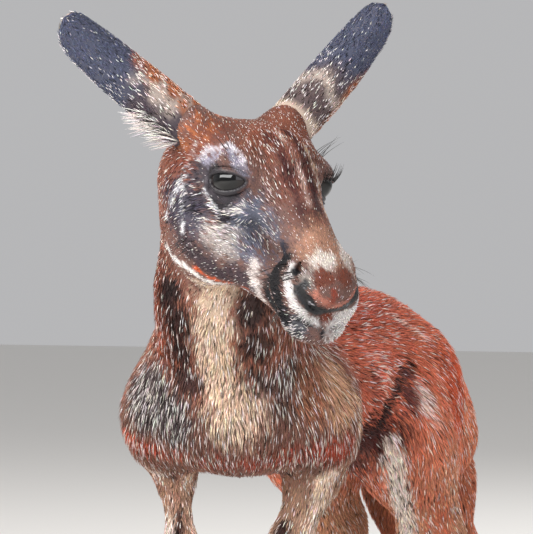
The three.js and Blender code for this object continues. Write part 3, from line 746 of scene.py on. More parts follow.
@dataclass(eq=False)
class Body:
    """The distance field of the skin, with the region and the lie of the coat at any place."""

    shapes: Shapes  # in blending order
    hollows: list[Hollow]  # cuts made after the shapes are joined
    sharing: float = 9.0  # millimetres over which neighbouring regions merge
    sole_drop: float = 4.0  # how far shapes reach below the floor, so that soles and tail rest flat
    sole_zone: float = 40.0  # the height under which they reach lower
    floor: float = 0.3  # lowest height of the skin
    batch: int = 60000  # points in one go

    def __post_init__(self) -> None:
        """Looks up each shape's depth, lie and region."""
        self.depths = np.array([shape.region.value.depth for shape in self.shapes])
        self.lies = np.array([shape.lie for shape in self.shapes])
        self.regions = np.array([REGIONS.index(shape.region) for shape in self.shapes])

    def _distances(self, points: Array) -> Array:
        """One row of distances for each shape."""
        return np.array([shape.distance(points) for shape in self.shapes])

    def _shares(self, distances: Array) -> Array:
        """How much each shape belongs to each place; the columns add up to 1."""
        weight = np.exp(-(distances - distances.min(0)) / self.sharing)
        return weight / weight.sum(0)

    def shares(self, points: Array) -> Array:
        """How much each shape belongs to each place."""
        return self._shares(self._distances(self._stretched(points)))

    def _stretched(self, points: Array) -> Array:
        """Points moved up near the floor, where shapes reach a little lower."""
        rise = self.sole_drop * np.clip(1 - points[:, 2] / self.sole_zone, 0, 1)
        return points + rise[:, None] * (0, 0, 1)

    def __call__(self, points: Array) -> Array:
        """Distance of each point from the skin, negative inside.

        Args:
            points: Places in the animal's frame.

        Returns:
            One distance for each.
        """
        result = np.empty(len(points))
        for start in range(0, len(points), self.batch):
            part = points[start:start + self.batch]
            distances = self._distances(self._stretched(part))
            total = distances[0]
            for row, shape in zip(distances[1:], self.shapes[1:]):
                total = blended(total, row, shape.blend)
            total = total + self.depths @ self._shares(distances)
            for hollow in self.hollows:
                total = -blended(-total, hollow.distance(part), hollow.blend)
            result[start:start + self.batch] = np.maximum(total, self.floor - part[:, 2])
        return result


def slope_of(surface: Field, points: Array, step: float = 0.4) -> Array:
    """The field's slope at each point, from four samples.

    Args:
        surface: The field.
        points: Places in the animal's frame.
        step: How far off its samples are.

    Returns:
        One vector for each point.
    """
    corners = np.array([(1, -1, -1), (-1, -1, 1), (-1, 1, -1), (1, 1, 1)], float)
    total = np.zeros((len(points), 3))
    for corner in corners:
        total += corner * surface(points + corner * step)[:, None]
    return total / (4 * step)


def net_surface(surface: Field, low: Array, high: Array, cell: float) -> tuple[Array, Array]:
    """Meshes a field's surface with quads, one vertex in each grid cell that the surface crosses.

    Args:
        surface: The field, negative inside.
        low: Lowest corner of the box.
        high: Highest corner.
        cell: Edge of a grid cell.

    Returns:
        Vertices and quads.
    """
    block = 4
    counts = (np.ceil((high - low) / cell / block).astype(int)) * block
    blocks = counts // block
    corner = np.stack(np.meshgrid(*[np.arange(n) for n in blocks], indexing="ij"), -1).reshape(-1, 3)
    middles = low + (corner + 0.5) * block * cell
    rough = surface(middles).reshape(blocks)
    near = np.abs(rough) < block * cell * 1.25
    values, mask = (kept.repeat(block, 0).repeat(block, 1).repeat(block, 2) for kept in (rough, near))
    where = np.argwhere(mask)
    values[tuple(where.T)] = surface(low + where * cell)
    for axis in range(3):
        for edge in (0, -1):
            face = [slice(None)] * 3
            face[axis] = edge
            values[tuple(face)] = np.maximum(values[tuple(face)], 0.01)
    inside = values < 0
    cells = [slice(0, -1), slice(1, None)]
    total = sum(inside[cells[a], cells[b], cells[c]].astype(np.int8)
                for a in (0, 1) for b in (0, 1) for c in (0, 1))
    active = np.argwhere((total > 0) & (total < 8))
    number = np.full(total.shape, -1, np.int64)
    number[tuple(active.T)] = np.arange(len(active))
    summed = np.zeros((len(active), 3))
    crossings = np.zeros(len(active))
    for axis in range(3):
        u, v = (axis + 1) % 3, (axis + 2) % 3
        for a in (0, 1):
            for b in (0, 1):
                start = np.zeros(3, int)
                start[u], start[v] = a, b
                end = start.copy()
                end[axis] += 1
                first = values[tuple((active + start).T)]
                second = values[tuple((active + end).T)]
                crossed = (first < 0) != (second < 0)
                t = np.where(crossed, first / np.where(crossed, first - second, 1), 0)
                place = start + t[:, None] * (end - start)
                summed += place * crossed[:, None]
                crossings += crossed
    points = low + (active + summed / crossings[:, None]) * cell
    quads = []
    for axis in range(3):
        u, v = (axis + 1) % 3, (axis + 2) % 3
        ahead = [slice(None)] * 3
        ahead[axis] = slice(1, None)
        here = [slice(None)] * 3
        here[axis] = slice(0, -1)
        change = np.argwhere(inside[tuple(here)] != inside[tuple(ahead)])
        change = change[(change[:, u] > 0) & (change[:, v] > 0)]
        corners = []
        for a, b in ((0, 0), (1, 0), (1, 1), (0, 1)):
            where = change.copy()
            where[:, u] -= a
            where[:, v] -= b
            corners.append(number[tuple(where.T)])
        ring = np.stack(corners, 1)
        outward = inside[tuple(change.T)]
        quads.append(np.where(outward[:, None], ring, ring[:, ::-1]))
    for _ in range(3):
        slope = slope_of(surface, points)
        steep = np.maximum((slope * slope).sum(1), FLATTEST)
        move = np.clip(surface(points) / steep, -0.45 * cell, 0.45 * cell)
        points = points - slope * move[:, None]
    return points, np.concatenate(quads)


@dataclass(frozen=True, eq=False)
class Zone:
    """A part of the skin that is meshed at one fineness."""

    low: Triple
    high: Triple
    cell: float  # grid spacing
    beyond: Field  # how far outside the zone each point lies
    inner: bool  # whether its edge slips beneath the neighbouring zone
    tuck: float = 0.22  # how steeply that edge slips beneath
    overlap: float = 9.0  # how far it reaches

    def mesh(self, body: Body) -> tuple[Array, Array]:
        """Vertices and quads of the skin in this zone.

        Args:
            body: The skin's field.

        Returns:
            Points and faces.
        """
        tuck, overlap = (self.tuck, self.overlap) if self.inner else (0.0, 0.0)

        def surface(points: Array) -> Array:
            """The skin, cut off at the zone's edge."""
            past = self.beyond(points)
            return np.maximum(body(points) + tuck * np.maximum(past, 0), past - overlap)

        return net_surface(surface, np.array(self.low, float), np.array(self.high, float), self.cell)


def neck_plane(points: Array) -> Array:
    """Distance in front of the plane that parts the head from the neck."""
    return (points - HEAD.point((0, 30, -77))) @ HEAD.direction((0, -0.53, 0.85))


def box_field(low: Spot, high: Spot) -> Field:
    """The field of a box: how far outside it each point lies.

    Args:
        low: The lowest corner.
        high: The highest corner.

    Returns:
        The field.
    """
    middle = (np.array(low, float) + np.array(high, float)) / 2
    half = (np.array(high, float) - np.array(low, float)) / 2
    return lambda points: (np.abs(points - middle) - half).max(1)


PAW_BOX = box_field((-130, -160, -20), (160, 30, 52))
FOOT_BOX = box_field((-130, 120, -20), (130, 520, 88))


def zones() -> list[Zone]:
    """The skin's zones: head, paws, hind feet and all the rest.

    Returns:
        The finest first.
    """
    return [
        Zone((-60, -340, 425), (260, -40, 720), 2.15, lambda p: -neck_plane(p), True),
        Zone((-80, -140, -3), (120, 30, 66), 2.5, PAW_BOX, True),
        Zone((-128, 122, -3), (128, 522, 102), 2.9, FOOT_BOX, True),
        Zone((-142, -240, -4), (142, 1112, 660), 5.3,
             lambda p: np.max([neck_plane(p), -PAW_BOX(p), -FOOT_BOX(p)], axis=0), False),
    ]


# ---- Markings ----


@dataclass(frozen=True, eq=False)
class Mark:
    """A patch or stroke of colour that skin and coat share."""

    shapes: Shapes
    tint: str
    soft: float  # millimetres over which it fades
    frost: float | None = None  # share of pale tufts inside it; None leaves that alone
    dusk: float | None = None  # share of dark tufts
    ruffle: float = 0.0  # extra lift of its tufts
    strength: float = 1.0  # how far it covers what lies under it

    def cover(self, points: Array, ragged: Array) -> Array:
        """How much of the mark each point gets.

        Args:
            points: Places in the animal's frame.
            ragged: Noise of about -1 to 1 that frays the mark's edge.

        Returns:
            0 to its strength.
        """
        distance = np.min([shape.distance(points) for shape in self.shapes], axis=0)
        return self.strength * smoothstep(0.5 - (distance + ragged * self.soft * 0.6) / self.soft)


def sides(local: Spot, both: bool) -> Iterable[Triple]:
    """A point and, where it is on both sides, its mirror image."""
    x, y, z = local
    return ((x, y, z), (-x, y, z)) if both else ((x, y, z),)


def patch(place: Place, centre: Spot, radii: Triple, tint: str, soft: float,
          frost: float | None = None, both: bool = False, **rest: float) -> Mark:
    """An oval mark in a place's frame, with its mirror image if it is on both sides."""
    ovals = [Oval(place.point(at), radii, axes=place.axes) for at in sides(centre, both)]
    return Mark(ovals, tint, soft, frost, **rest)


def chain(place: Place, route: Route, radius: float, both: bool = False) -> Shapes:
    """Rods along a route in a place's frame.

    Args:
        place: The frame that it is given in.
        route: Points along it.
        radius: Its radius.
        both: Whether its mirror image comes too.

    Returns:
        The rods.
    """
    rods: Shapes = []
    for a, b in zip(route, route[1:]):
        for start, end in zip(sides(a, both), sides(b, both)):
            rods.append(Limb(place.point(start), place.point(end), radius, radius))
    return rods


def stroke(place: Place, route: Route, radius: float, tint: str, soft: float,
           frost: float | None = None, both: bool = False, **rest: float) -> Mark:
    """A mark along a route in a place's frame, with its mirror image if it is on both sides."""
    return Mark(chain(place, route, radius, both), tint, soft, frost, **rest)


def front(*route: tuple[float, float]) -> tuple[Triple, ...]:
    """Points on the front of the muzzle, in the head's frame.

    Args:
        *route: Pairs of across and up.

    Returns:
        Points with the depth filled in.
    """
    ovals = (((-2, -103, -11), (31, 31, 24)), ((21, -101, -26), (20, 28, 20)),
             ((-21, -101, -26), (20, 28, 20)), ((2, -115, -45), (30, 25, 19)))
    made = []
    for x, z in route:
        reach = [cy - ry * math.sqrt(max(0.0, 1 - ((x - cx) / rx) ** 2 - ((z - cz) / rz) ** 2))
                 for (cx, cy, cz), (rx, ry, rz) in ovals]
        made.append((x, min(reach), z))
    return tuple(made)


NOSTRIL = (-31, -100, -4)
LIP_V = front((-32, -5), (-34, -11), (-28, -16), (-18, -20), (-7, -21), (3, -17), (13, -12), (22, -8),
              (28, -5))
CLEFT = front((-7, -21), (-6, -30), (-3, -42))
MOUTH = (*front((0, -36), (-14, -37), (-24, -37)), (-33, -112, -37), (-37, -98, -36), (-36, -82, -37))


def head_marks() -> list[Mark]:
    """Face, muzzle and jaw, mostly in pairs; the right side is given.

    Returns:
        Marks, the lowest first.
    """
    return [
        patch(HEAD, (0, 26, 34), (48, 42, 24), "#7c4836", 26, 0.24),
        patch(HEAD, (-54, 40, -12), (26, 26, 40), "#7c4332", 20, 0.16, both=True),
        patch(HEAD, (-38, -34, -18), (22, 40, 24), "#5a5d6b", 18, 0.22, both=True),
        patch(HEAD, (-58, 12, -46), (20, 30, 26), "#46424f", 18, 0.2, dusk=0.2, both=True),
        patch(HEAD, (-48, -30, -42), (16, 20, 12), "#a59c98", 14, 0.4, both=True),
        patch(HEAD, (-34, -54, -30), (12, 16, 14), "#5f6070", 10, 0.2, both=True),
        patch(HEAD, (-50, -22, -66), (24, 40, 10), "#3f3036", 12, 0.16, dusk=0.3, both=True),
        patch(HEAD, (-34, -62, -58), (16, 22, 10), "#44343a", 12, 0.16, dusk=0.3, both=True),
        patch(HEAD, (0, -40, 26), (24, 60, 22), "#74463a", 18, 0.1),
        stroke(HEAD, ((6, 22, 36), (8, -8, 32), (6, -36, 25), (2, -62, 20)), 5.0, "#33191b", 8, 0.03,
               strength=0.85),
        stroke(HEAD, ((-16, 22, 36), (-13, -8, 31), (-13, -44, 23), (-14, -70, 15)), 4.0, "#4a2624", 7, 0.1),
        stroke(HEAD, ((-4, 22, 37), (-3, -12, 32), (-4, -50, 24)), 2.4, "#a98b80", 5, 0.3),
        stroke(HEAD, ((16, 4, 33), (18, -22, 25), (16, -44, 20), (13, -62, 17)), 2.6, "#c4a58a", 6, 0.2,
               strength=0.75),
        patch(HEAD, (0, -90, 12), (30, 26, 18), "#9c735e", 14, 0.08),
        patch(HEAD, (-16, -104, 11), (13, 10, 8), "#cdc2b8", 7, 0.3),
        patch(HEAD, (12, -102, 13), (8, 12, 8), "#c9bdb2", 7, 0.3),
        patch(HEAD, (-29, -112, -2), (8, 8, 7), "#8f857f", 6, 0.3, dusk=0.2),
        patch(HEAD, (-19, -117, 5), (8, 8, 8), "#6b3626", 6, 0.03),
        patch(HEAD, (2, -119, 8), (9, 9, 8), "#6e3a2a", 6, 0.03),
        stroke(HEAD, front((-24, -8), (-14, -11), (-6, -13), (4, -9), (16, -2)), 3.0, "#b0705f", 4),
        stroke(HEAD, front((-10, 2), (-9, -14)), 2.0, "#8e3c28", 4),
        patch(HEAD, (-22, -121, -42), (15, 16, 14), "#55545b", 8, 0.5, dusk=0.42, ruffle=0.16),
        patch(HEAD, (16, -124, -36), (22, 16, 17), "#cfcac7", 8, 0.6, ruffle=0.26),
        patch(HEAD, front((-1, -29))[0], (8, 5, 6), "#7c3b28", 5, 0.1),
        stroke(HEAD, ((-28, -70, -14), (-34, -84, -22), (-38, -93, -26), (-38, -104, -33), (-32, -114, -42)),
               9.5, "#0c0b11", 4, 0.02, dusk=0.3, both=True),
        stroke(HEAD, ((-29, -80, -11), (-28, -77, -22), (-28, -78, -36), (-25, -85, -50), (-20, -104, -58)),
               7.5, "#0c0b11", 4, 0.04, dusk=0.2, both=True),
        stroke(HEAD, ((-26, -68, -12), (-27, -68, -26)), 6.0, "#2a2a38", 7, 0.08, both=True),
        stroke(HEAD, ((-33, -90, -4), (-37, -102, -13), (-36, -113, -19),
                      *front((-29, -25), (-15, -31), (-9, -33))), 3.4, "#dedad8", 3, 0.3),
        stroke(HEAD, ((33, -90, -4), (37, -102, -13), (36, -113, -17), *front((29, -20), (20, -22))), 3.4,
               "#dedad8", 3, 0.3),
        stroke(HEAD, ((-31, -56, -38), (-28, -68, -51), (-20, -78, -63)), 4.0, "#d2c7c2", 5, 0.4, both=True),
        # the black V under the nose: dark bare lip skin in its groove, deepened with painted shade under the
        # nose pad
        stroke(HEAD, LIP_V, 5.6, "#08070b", 2, 0.0, dusk=0.0),
        # thin pale lines inside the black V: painted highlights on the wet lip
        stroke(HEAD, front((-30, -9), (-29, -12), (-24, -16), (-16, -19)), 0.6, "#b9b6bc", 1.2),
        stroke(HEAD, front((-5, -22), (8, -16), (18, -11)), 0.5, "#77828a", 1.2),
        stroke(HEAD, CLEFT, 1.4, "#141015", 2, 0.0),
        stroke(HEAD, MOUTH, 1.4, "#1b171c", 3, 0.0, strength=0.7, both=True),
        patch(HEAD, NOSTRIL, (5.5, 5.5, 5), "#0b0a0f", 2.5, 0.0, both=True),
        stroke(HEAD, ((-66, 37, 6), (-67, 33, -19), (-66, 23, -33), (-64, 15, -49), (-61, 3, -63)), 2.0,
               "#e4e4e8", 3.5, 0.7, both=True),
        stroke(HEAD, ((-67, 30, -30), (-66, 28, -50), (-60, 29, -72)), 2.0, "#dcdce2", 3.5, 0.7, both=True),
        stroke(HEAD, ((-48, 23, -98), (-50, 8, -97), (-55, -17, -86), (-48, -33, -84), (-38, -44, -80),
                      (-28, -58, -72), (-22, -74, -66)), 3.0, "#f0ebe7", 3.5, 0.6, both=True),
        stroke(HEAD, ((-53, -24, -78), (-45, -38, -76), (-34, -52, -72), (-27, -64, -64)), 1.8, "#d9602f",
               2.5, 0.1, both=True),
        patch(HEAD, (-53, 6, -6), (18, 28, 20), "#3b343b", 10, 0.12, both=True),
        patch(HEAD, (-52, -12, -20), (14, 14, 10), "#28242a", 7, 0.06, both=True),
        stroke(HEAD, ((-65, 20, -8), (-62, 10, -18), (-56, -4, -24), (-52, -16, -26)), 2.0, "#e6e8ee", 3,
               0.7, both=True),
        stroke(HEAD, ((-53, -16, -22), (-47, -24, -12), (-41, -26, -2)), 2.2, "#b3adb0", 4, 0.6, both=True),
        patch(HEAD, (-50, -2, 0), (18, 18, 12), "#231f24", 5, 0.03, both=True),
        stroke(HEAD, ((-64, 22, 0), (-58, 19, 10), (-51, 11, 17), (-48, 2, 18), (-47, -6, 15)), 5.5,
               "#8f8b9b", 4, 0.3),
        stroke(HEAD, ((-65, 28, -4), (-60, 28, 8), (-51, 20, 20), (-47, 9, 24), (-46, -1, 23)), 2.8,
               "#d8d3dc", 3.5, 0.4),
        patch(HEAD, (-52, 54, 2), (20, 16, 18), "#b0683f", 14, 0.3, both=True),
    ]


def trunk_marks() -> list[Mark]:
    """Neck, chest, back, flanks and limbs.

    Returns:
        Marks, the lowest first.
    """
    return [
        patch(BODY, (-84, 6, 410), (34, 50, 90), "#96594a", 50, strength=0.8),
        patch(BODY, (-10, 16, 480), (70, 46, 34), "#a05c48", 44, strength=0.7),
        patch(BODY, (-6, -140, 480), (30, 60, 60), "#6e3d30", 24, 0.14, dusk=0.16),
        stroke(BODY, ((64, -190, 500), (46, -166, 464), (40, -148, 438), (36, -124, 408), (40, -108, 378)),
               17, "#dcc2aa", 18, 0.16, dusk=0.13, ruffle=0.05),
        patch(BODY, (56, -114, 396), (26, 26, 17), "#d6b9a2", 16, 0.16),
        patch(BODY, (8, -170, 498), (15, 24, 14), "#33201f", 9, 0.06, dusk=0.4),
        patch(BODY, (13, -164, 474), (14, 26, 13), "#39211e", 9, 0.06, dusk=0.4),
        patch(BODY, (6, -148, 448), (14, 26, 12), "#412824", 10, 0.08, dusk=0.4),
        patch(BODY, (6, -132, 420), (13, 24, 14), "#4b3330", 10, 0.12, dusk=0.3),
        stroke(BODY, ((-12, -140, 500), (-18, -138, 470), (-30, -118, 440)), 6, "#9c4b34", 8, 0.3),
        patch(BODY, (80, -158, 478), (12, 26, 16), "#3f2a27", 9, dusk=0.4),
        patch(BODY, (76, -138, 450), (12, 24, 16), "#4a302a", 9, dusk=0.3),
        patch(BODY, (72, -108, 420), (12, 24, 12), "#54403c", 12, 0.25, dusk=0.3),
        patch(BODY, (84, -86, 414), (16, 24, 30), "#5d453f", 14, 0.3, dusk=0.2),
        patch(BODY, (-44, -104, 404), (38, 34, 36), "#564a4a", 18, 0.4, dusk=0.12),
        patch(BODY, (-16, -112, 386), (20, 26, 26), "#4f4344", 14, 0.34, dusk=0.12),
        patch(BODY, (97, -60, 412), (14, 28, 34), "#93614b", 14, 0.1),
        patch(BODY, (103, -22, 408), (16, 22, 40), "#c4987b", 14, 0.1),
        stroke(BODY, ((-78, -70, 366), (-50, -90, 352), (-12, -98, 340), (7, -94, 334)), 10, "#a34a36", 11,
               0.34, ruffle=0.12),
        stroke(BODY, ((7, -94, 334), (32, -84, 330), (68, -64, 340), (98, -38, 350), (108, -5, 356)), 15,
               "#984432", 16, 0.28, ruffle=0.1),
        stroke(BODY, ((-64, -66, 336), (-20, -72, 322), (20, -60, 318), (64, -40, 322), (98, -10, 330)), 4,
               "#dcae9f", 6, 0.6, ruffle=0.3),
        stroke(BODY, ((100, -34, 446), (106, -6, 424), (112, 10, 390), (110, 14, 362)), 4, "#d3ab8b", 6, 0.3,
               ruffle=0.1),
        stroke(BODY, ((98, 40, 440), (106, 48, 400), (98, 62, 352)), 8, "#5c241d", 12),
        patch(BODY, (60, 120, 480), (50, 100, 22), "#b4523a", 26, 0.2),
        patch(BODY, (92, 110, 432), (20, 34, 34), "#cf6e56", 18, 0.3),
        stroke(BODY, ((64, 70, 484), (78, 110, 462), (86, 150, 446)), 3.5, "#e7b5a4", 6, 0.4),
        stroke(BODY, ((86, 90, 448), (94, 120, 424), (98, 136, 404)), 3.5, "#e7b5a4", 6, 0.4),
        stroke(BODY, ((40, 150, 492), (66, 200, 474), (84, 240, 452)), 4.0, "#e9bba9", 7, 0.4),
        stroke(BODY, ((90, 84, 420), (96, 100, 400), (94, 108, 372)), 3.0, "#5a231d", 6, 0.02),
        # painted shade: dark where the belly meets the flank, and along the underside of the belly
        patch(BODY, (80, 120, 350), (40, 60, 26), "#4a1e1a", 22, 0.03),
        patch(BODY, (0, 150, 330), (70, 150, 22), "#6e4038", 26),
        # painted shade in the crease between the flank and the left thigh
        stroke(BODY, ((98, 184, 424), (98, 160, 410), (97, 138, 394), (88, 128, 372), (80, 124, 345)), 9,
               "#200f10", 9, 0.02),
        patch(BODY, (102, 176, 396), (12, 16, 24), "#6a3a38", 14, 0.1),
        # painted highlights on the bulge of the left thigh and knee
        patch(BODY, (106, 196, 390), (12, 13, 17), "#ecc6ba", 11, 0.4),
        stroke(BODY, ((110, 206, 366), (104, 196, 346)), 6, "#e0a894", 9, 0.4),
        stroke(BODY, ((100, 232, 438), (110, 240, 404), (114, 246, 376)), 5, "#ecc0b0", 8, 0.4),
        patch(BODY, (108, 290, 400), (30, 50, 50), "#c25a3c", 24, 0.14, both=True),
        patch(BODY, (108, 340, 350), (30, 40, 40), "#cf7f5f", 24, 0.22, both=True),
        stroke(BODY, ((92, 152, 346), (84, 172, 318), (77, 204, 288), (62, 252, 254), (58, 300, 190),
                      (62, 380, 110)), 12, "#ecd8ca", 8, 0.34, dusk=0.16, ruffle=0.06, both=True),
        stroke(BODY, ((96, 230, 300), (88, 300, 230), (76, 400, 130)), 14, "#c26b4e", 16, 0.16, both=True),
        stroke(BODY, ((-78, -34, 330), (-72, -24, 300), (-68, -22, 276), (-60, -28, 160), (-54, -36, 80)), 9,
               "#e6d3c4", 7, 0.34),
        stroke(BODY, ((-50, -10, 326), (-47, -4, 300), (-46, -4, 270), (-42, -12, 160)), 8, "#d9b49d", 7,
               0.3),
        stroke(BODY, ((-62, -26, 326), (-59, -16, 296), (-57, -18, 270), (-50, -26, 160)), 4.5, "#4b2f29", 5,
               dusk=0.3),
        stroke(BODY, ((44, -6, 322), (38, 0, 290), (38, 4, 200), (36, 0, 90)), 9, "#35201d", 9, dusk=0.3),
        stroke(BODY, ((80, 10, 332), (72, 22, 300), (66, 18, 270), (60, 10, 160), (58, 2, 80)), 11,
               "#ddc1ab", 9, 0.25),
        stroke(BODY, ((0, 560, 80), (-10, 750, 10), (-60, 960, 2), (-94, 1080, 0)), 22, "#cdb09a", 18),
    ]


@dataclass(frozen=True, eq=False)
class Fur:
    """What the coat is like at each of many places."""

    tint: Array  # linear colours
    frost: Array  # share of pale tufts
    dusk: Array  # share of dark tufts
    ruffle: Array  # extra lift
    lie: Array  # direction of the coat
    region: Array  # index of the main region
    chart: Array  # index of the main shape


@dataclass(eq=False)
class Painter:
    """Gives skin and coat the same colours."""

    body: Body
    marks: list[Mark]  # laid over each other in order
    dusk: float = 0.06  # share of dark tufts where no mark says otherwise

    def __post_init__(self) -> None:
        """Looks up each shape's ground colour and frost."""
        self.grounds = np.array([linear(shape.region.value.tint) for shape in self.body.shapes])
        self.frosts = np.array([shape.region.value.frost for shape in self.body.shapes])

    def read(self, points: Array) -> Fur:
        """Looks up the fur at many places.

        Args:
            points: Places in the animal's frame.

        Returns:
            The fur at each.
        """
        shares = self.body.shares(points)
        tint = shares.T @ self.grounds
        frost = shares.T @ self.frosts
        dusk = np.full(len(points), self.dusk)
        ruffle = np.zeros(len(points))
        ragged = 0.6 * ripple(points, 9, 11) + 0.6 * ripple(points, 3.5, 12)
        for mark in self.marks:
            cover = mark.cover(points, ragged)
            tint += (linear(mark.tint) - tint) * cover[:, None]
            if mark.frost is not None:
                frost += (mark.frost - frost) * cover
            if mark.dusk is not None:
                dusk += (mark.dusk - dusk) * cover
            ruffle += mark.ruffle * cover
        tint = tint * (1 + 0.12 * ripple(points, 34, 21) + 0.07 * ripple(points, 8, 22))[:, None]
        lie = shares.T @ self.body.lies
        main = shares.argmax(0)
        return Fur(tint, frost, dusk, ruffle, unit(lie), self.body.regions[main], main)


# ---- Meshes and materials ----


def make_mesh(name: str, points: Array, faces: Array, finish: Finish) -> Piece:
    """Makes a smooth mesh object at the origin.

    Args:
        name: The object's name.
        points: Vertices in millimetres, in the animal's frame.
        faces: One row of vertex numbers for each face, all of one length.
        finish: The material.

    Returns:
        The linked object.
    """
    mesh = bpy.data.meshes.new(name)
    count, corners = faces.shape
    mesh.vertices.add(len(points))
    mesh.vertices.foreach_set("co", to_metres(points).astype(np.float32).ravel())
    mesh.loops.add(count * corners)
    mesh.loops.foreach_set("vertex_index", faces.astype(np.int32).ravel())
    mesh.polygons.add(count)
    mesh.polygons.foreach_set("loop_start", np.arange(0, count * corners, corners, dtype=np.int32))
    mesh.update(calc_edges=True)
    mesh.shade_smooth()
    mesh.materials.append(finish)
    made = bpy.data.objects.new(name, mesh)
    bpy.context.scene.collection.objects.link(made)
    return made


def ring_quads(rows: int, columns: int) -> Array:
    """Quads between rows of points that each close into a ring.

    Args:
        rows: How many rows of quads.
        columns: Points in a ring.

    Returns:
        Four vertex numbers for each quad.
    """
    i, j = np.meshgrid(np.arange(rows), np.arange(columns), indexing="ij")
    a, b = i * columns + j, i * columns + (j + 1) % columns
    return np.stack([a, a + columns, b + columns, b], -1).reshape(-1, 4)


def set_colour(made: Piece, colours: Array) -> None:
    """Gives each vertex its Tint.

    Args:
        made: The object.
        colours: Linear colours, one for each vertex.
    """
    rgba = np.ones((len(colours), 4), np.float32)
    rgba[:, :3] = np.clip(colours, 0, 1)
    layer = made.data.color_attributes.new("Tint", "FLOAT_COLOR", "POINT")
    layer.data.foreach_set("color", rgba.ravel())


def set_share(made: Piece, name: str, values: Array) -> None:
    """Gives each vertex a number from 0 to 1."""
    layer = made.data.attributes.new(name, "FLOAT", "POINT")
    layer.data.foreach_set("value", np.clip(values, 0, 1).astype(np.float32))


class Recipe:
    """A material's node tree, built one node at a time."""

    def __init__(self, name: str) -> None:
        """Starts a material that holds only its output and its shader.

        Args:
            name: The material's name.
        """
        self.material = bpy.data.materials.new(name)
        self.material.use_nodes = True
        self.tree = self.material.node_tree
        self.tree.nodes.clear()
        self.shader = self.add("ShaderNodeBsdfPrincipled")
        self.add("ShaderNodeOutputMaterial", inputs={"Surface": self.shader.outputs["BSDF"]})

    def add(self, kind: str, settings: dict | None = None, inputs: dict | None = None) -> bpy.types.Node:
        """Adds a node.

        Args:
            kind: Its type name.
            settings: Properties of the node.
            inputs: For each input, a value or the output that it takes.

        Returns:
            The node.
        """
        node = self.tree.nodes.new(kind)
        for key, value in (settings or {}).items():
            setattr(node, key, value)
        for key, value in (inputs or {}).items():
            self.feed(node, key, value)
        return node

    def feed(self, node: bpy.types.Node, key: str | int, value: object) -> None:
        """Sets one input, or links it where the value is an output.

        Args:
            node: The node.
            key: The input's name or number.
            value: What it takes.
        """
        if isinstance(value, Socket):
            self.tree.links.new(value, node.inputs[key])
        else:
            node.inputs[key].default_value = value

    def finish(self, **inputs: object) -> Finish:
        """Sets the shader's inputs, with _ standing for a space in their names.

        Args:
            **inputs: A value or an output for each.

        Returns:
            The material.
        """
        for key, value in inputs.items():
            self.feed(self.shader, key.replace("_", " "), value)
        return self.material

    def noise(self, size_mm: float, detail: float = 2.0) -> Socket:
        """Noise of a real size, read in the object's own coordinates.

        Args:
            size_mm: Size of a grain.
            detail: How many finer layers it has.

        Returns:
            Its 0 to 1 value.
        """
        where = self.add("ShaderNodeTexCoord").outputs["Object"]
        made = self.add("ShaderNodeTexNoise", inputs={"Vector": where, "Scale": 1 / (size_mm * MM),
                                                      "Detail": detail})
        return made.outputs["Fac"]

    def varied(self, colour: object, by: Socket, low: float, high: float) -> Socket:
        """A colour made darker and lighter by a 0 to 1 value.

        Args:
            colour: The plain colour.
            by: That value.
            low: The darkest gain.
            high: The lightest gain.

        Returns:
            The varied colour.
        """
        gain = self.add("ShaderNodeMapRange", inputs={"Value": by, "From Min": 0.3, "From Max": 0.7,
                                                      "To Min": low, "To Max": high})
        inputs = {0: colour, "Scale": gain.outputs[0]}
        return self.add("ShaderNodeVectorMath", {"operation": "SCALE"}, inputs).outputs[0]

    def bump(self, height: object, depth_mm: float, strength: float) -> Socket:
        """A normal bent by a 0 to 1 height, where 1 stands for a real depth."""
        made = self.add("ShaderNodeBump", inputs={"Height": height, "Distance": depth_mm * MM,
                                                  "Strength": strength})
        return made.outputs["Normal"]

    def tint(self) -> Socket:
        """The mesh's own colours."""
        return self.add("ShaderNodeAttribute", {"attribute_name": "Tint"}).outputs["Color"]


@dataclass(frozen=True)
class FurFinish:
    """Guard hair: dry, a little silky, each hair slightly different."""

    roughness: float = 0.62
    sheen: float = 0.02

    def make(self) -> Finish:
        """Gives the eye soft matt tufts that catch light along their length.

        Returns:
            The material.
        """
        recipe = Recipe("kangaroo_fur")
        colour = recipe.varied(recipe.tint(), recipe.noise(1.6), 0.86, 1.14)
        return recipe.finish(Base_Color=colour, Roughness=self.roughness, Specular_IOR_Level=0.1,
                             Sheen_Weight=self.sheen, Sheen_Roughness=0.5)


@dataclass(frozen=True)
class HideFinish:
    """Skin under the coat, with velvet-short hair, and bare skin at nose, lips and lids."""

    hair_mm: float = 0.9
    pebble_mm: float = 1.5

    def make(self) -> Finish:
        """Gives the eye a dense short nap, and damp pebbled leather where it is bare.

        Returns:
            The material.
        """
        recipe = Recipe("kangaroo_hide")
        bare = recipe.add("ShaderNodeAttribute", {"attribute_name": "Bare"}).outputs["Fac"]
        nap = recipe.noise(self.hair_mm, 3.0)
        pebble = recipe.add("ShaderNodeTexVoronoi", inputs={
            "Vector": recipe.add("ShaderNodeTexCoord").outputs["Object"],
            "Scale": 1 / (self.pebble_mm * MM),
        }).outputs["Distance"]
        height = recipe.add("ShaderNodeMix", {"data_type": "FLOAT"}, {0: bare, 2: nap, 3: pebble}).outputs[0]
        rough = recipe.add("ShaderNodeMapRange", inputs={"Value": bare, "To Min": 0.75, "To Max": 0.36})
        colour = recipe.varied(recipe.tint(), nap, 0.8, 1.15)
        return recipe.finish(Base_Color=colour, Roughness=rough.outputs[0], Specular_IOR_Level=0.35,
                             Normal=recipe.bump(height, 0.5, 0.6))


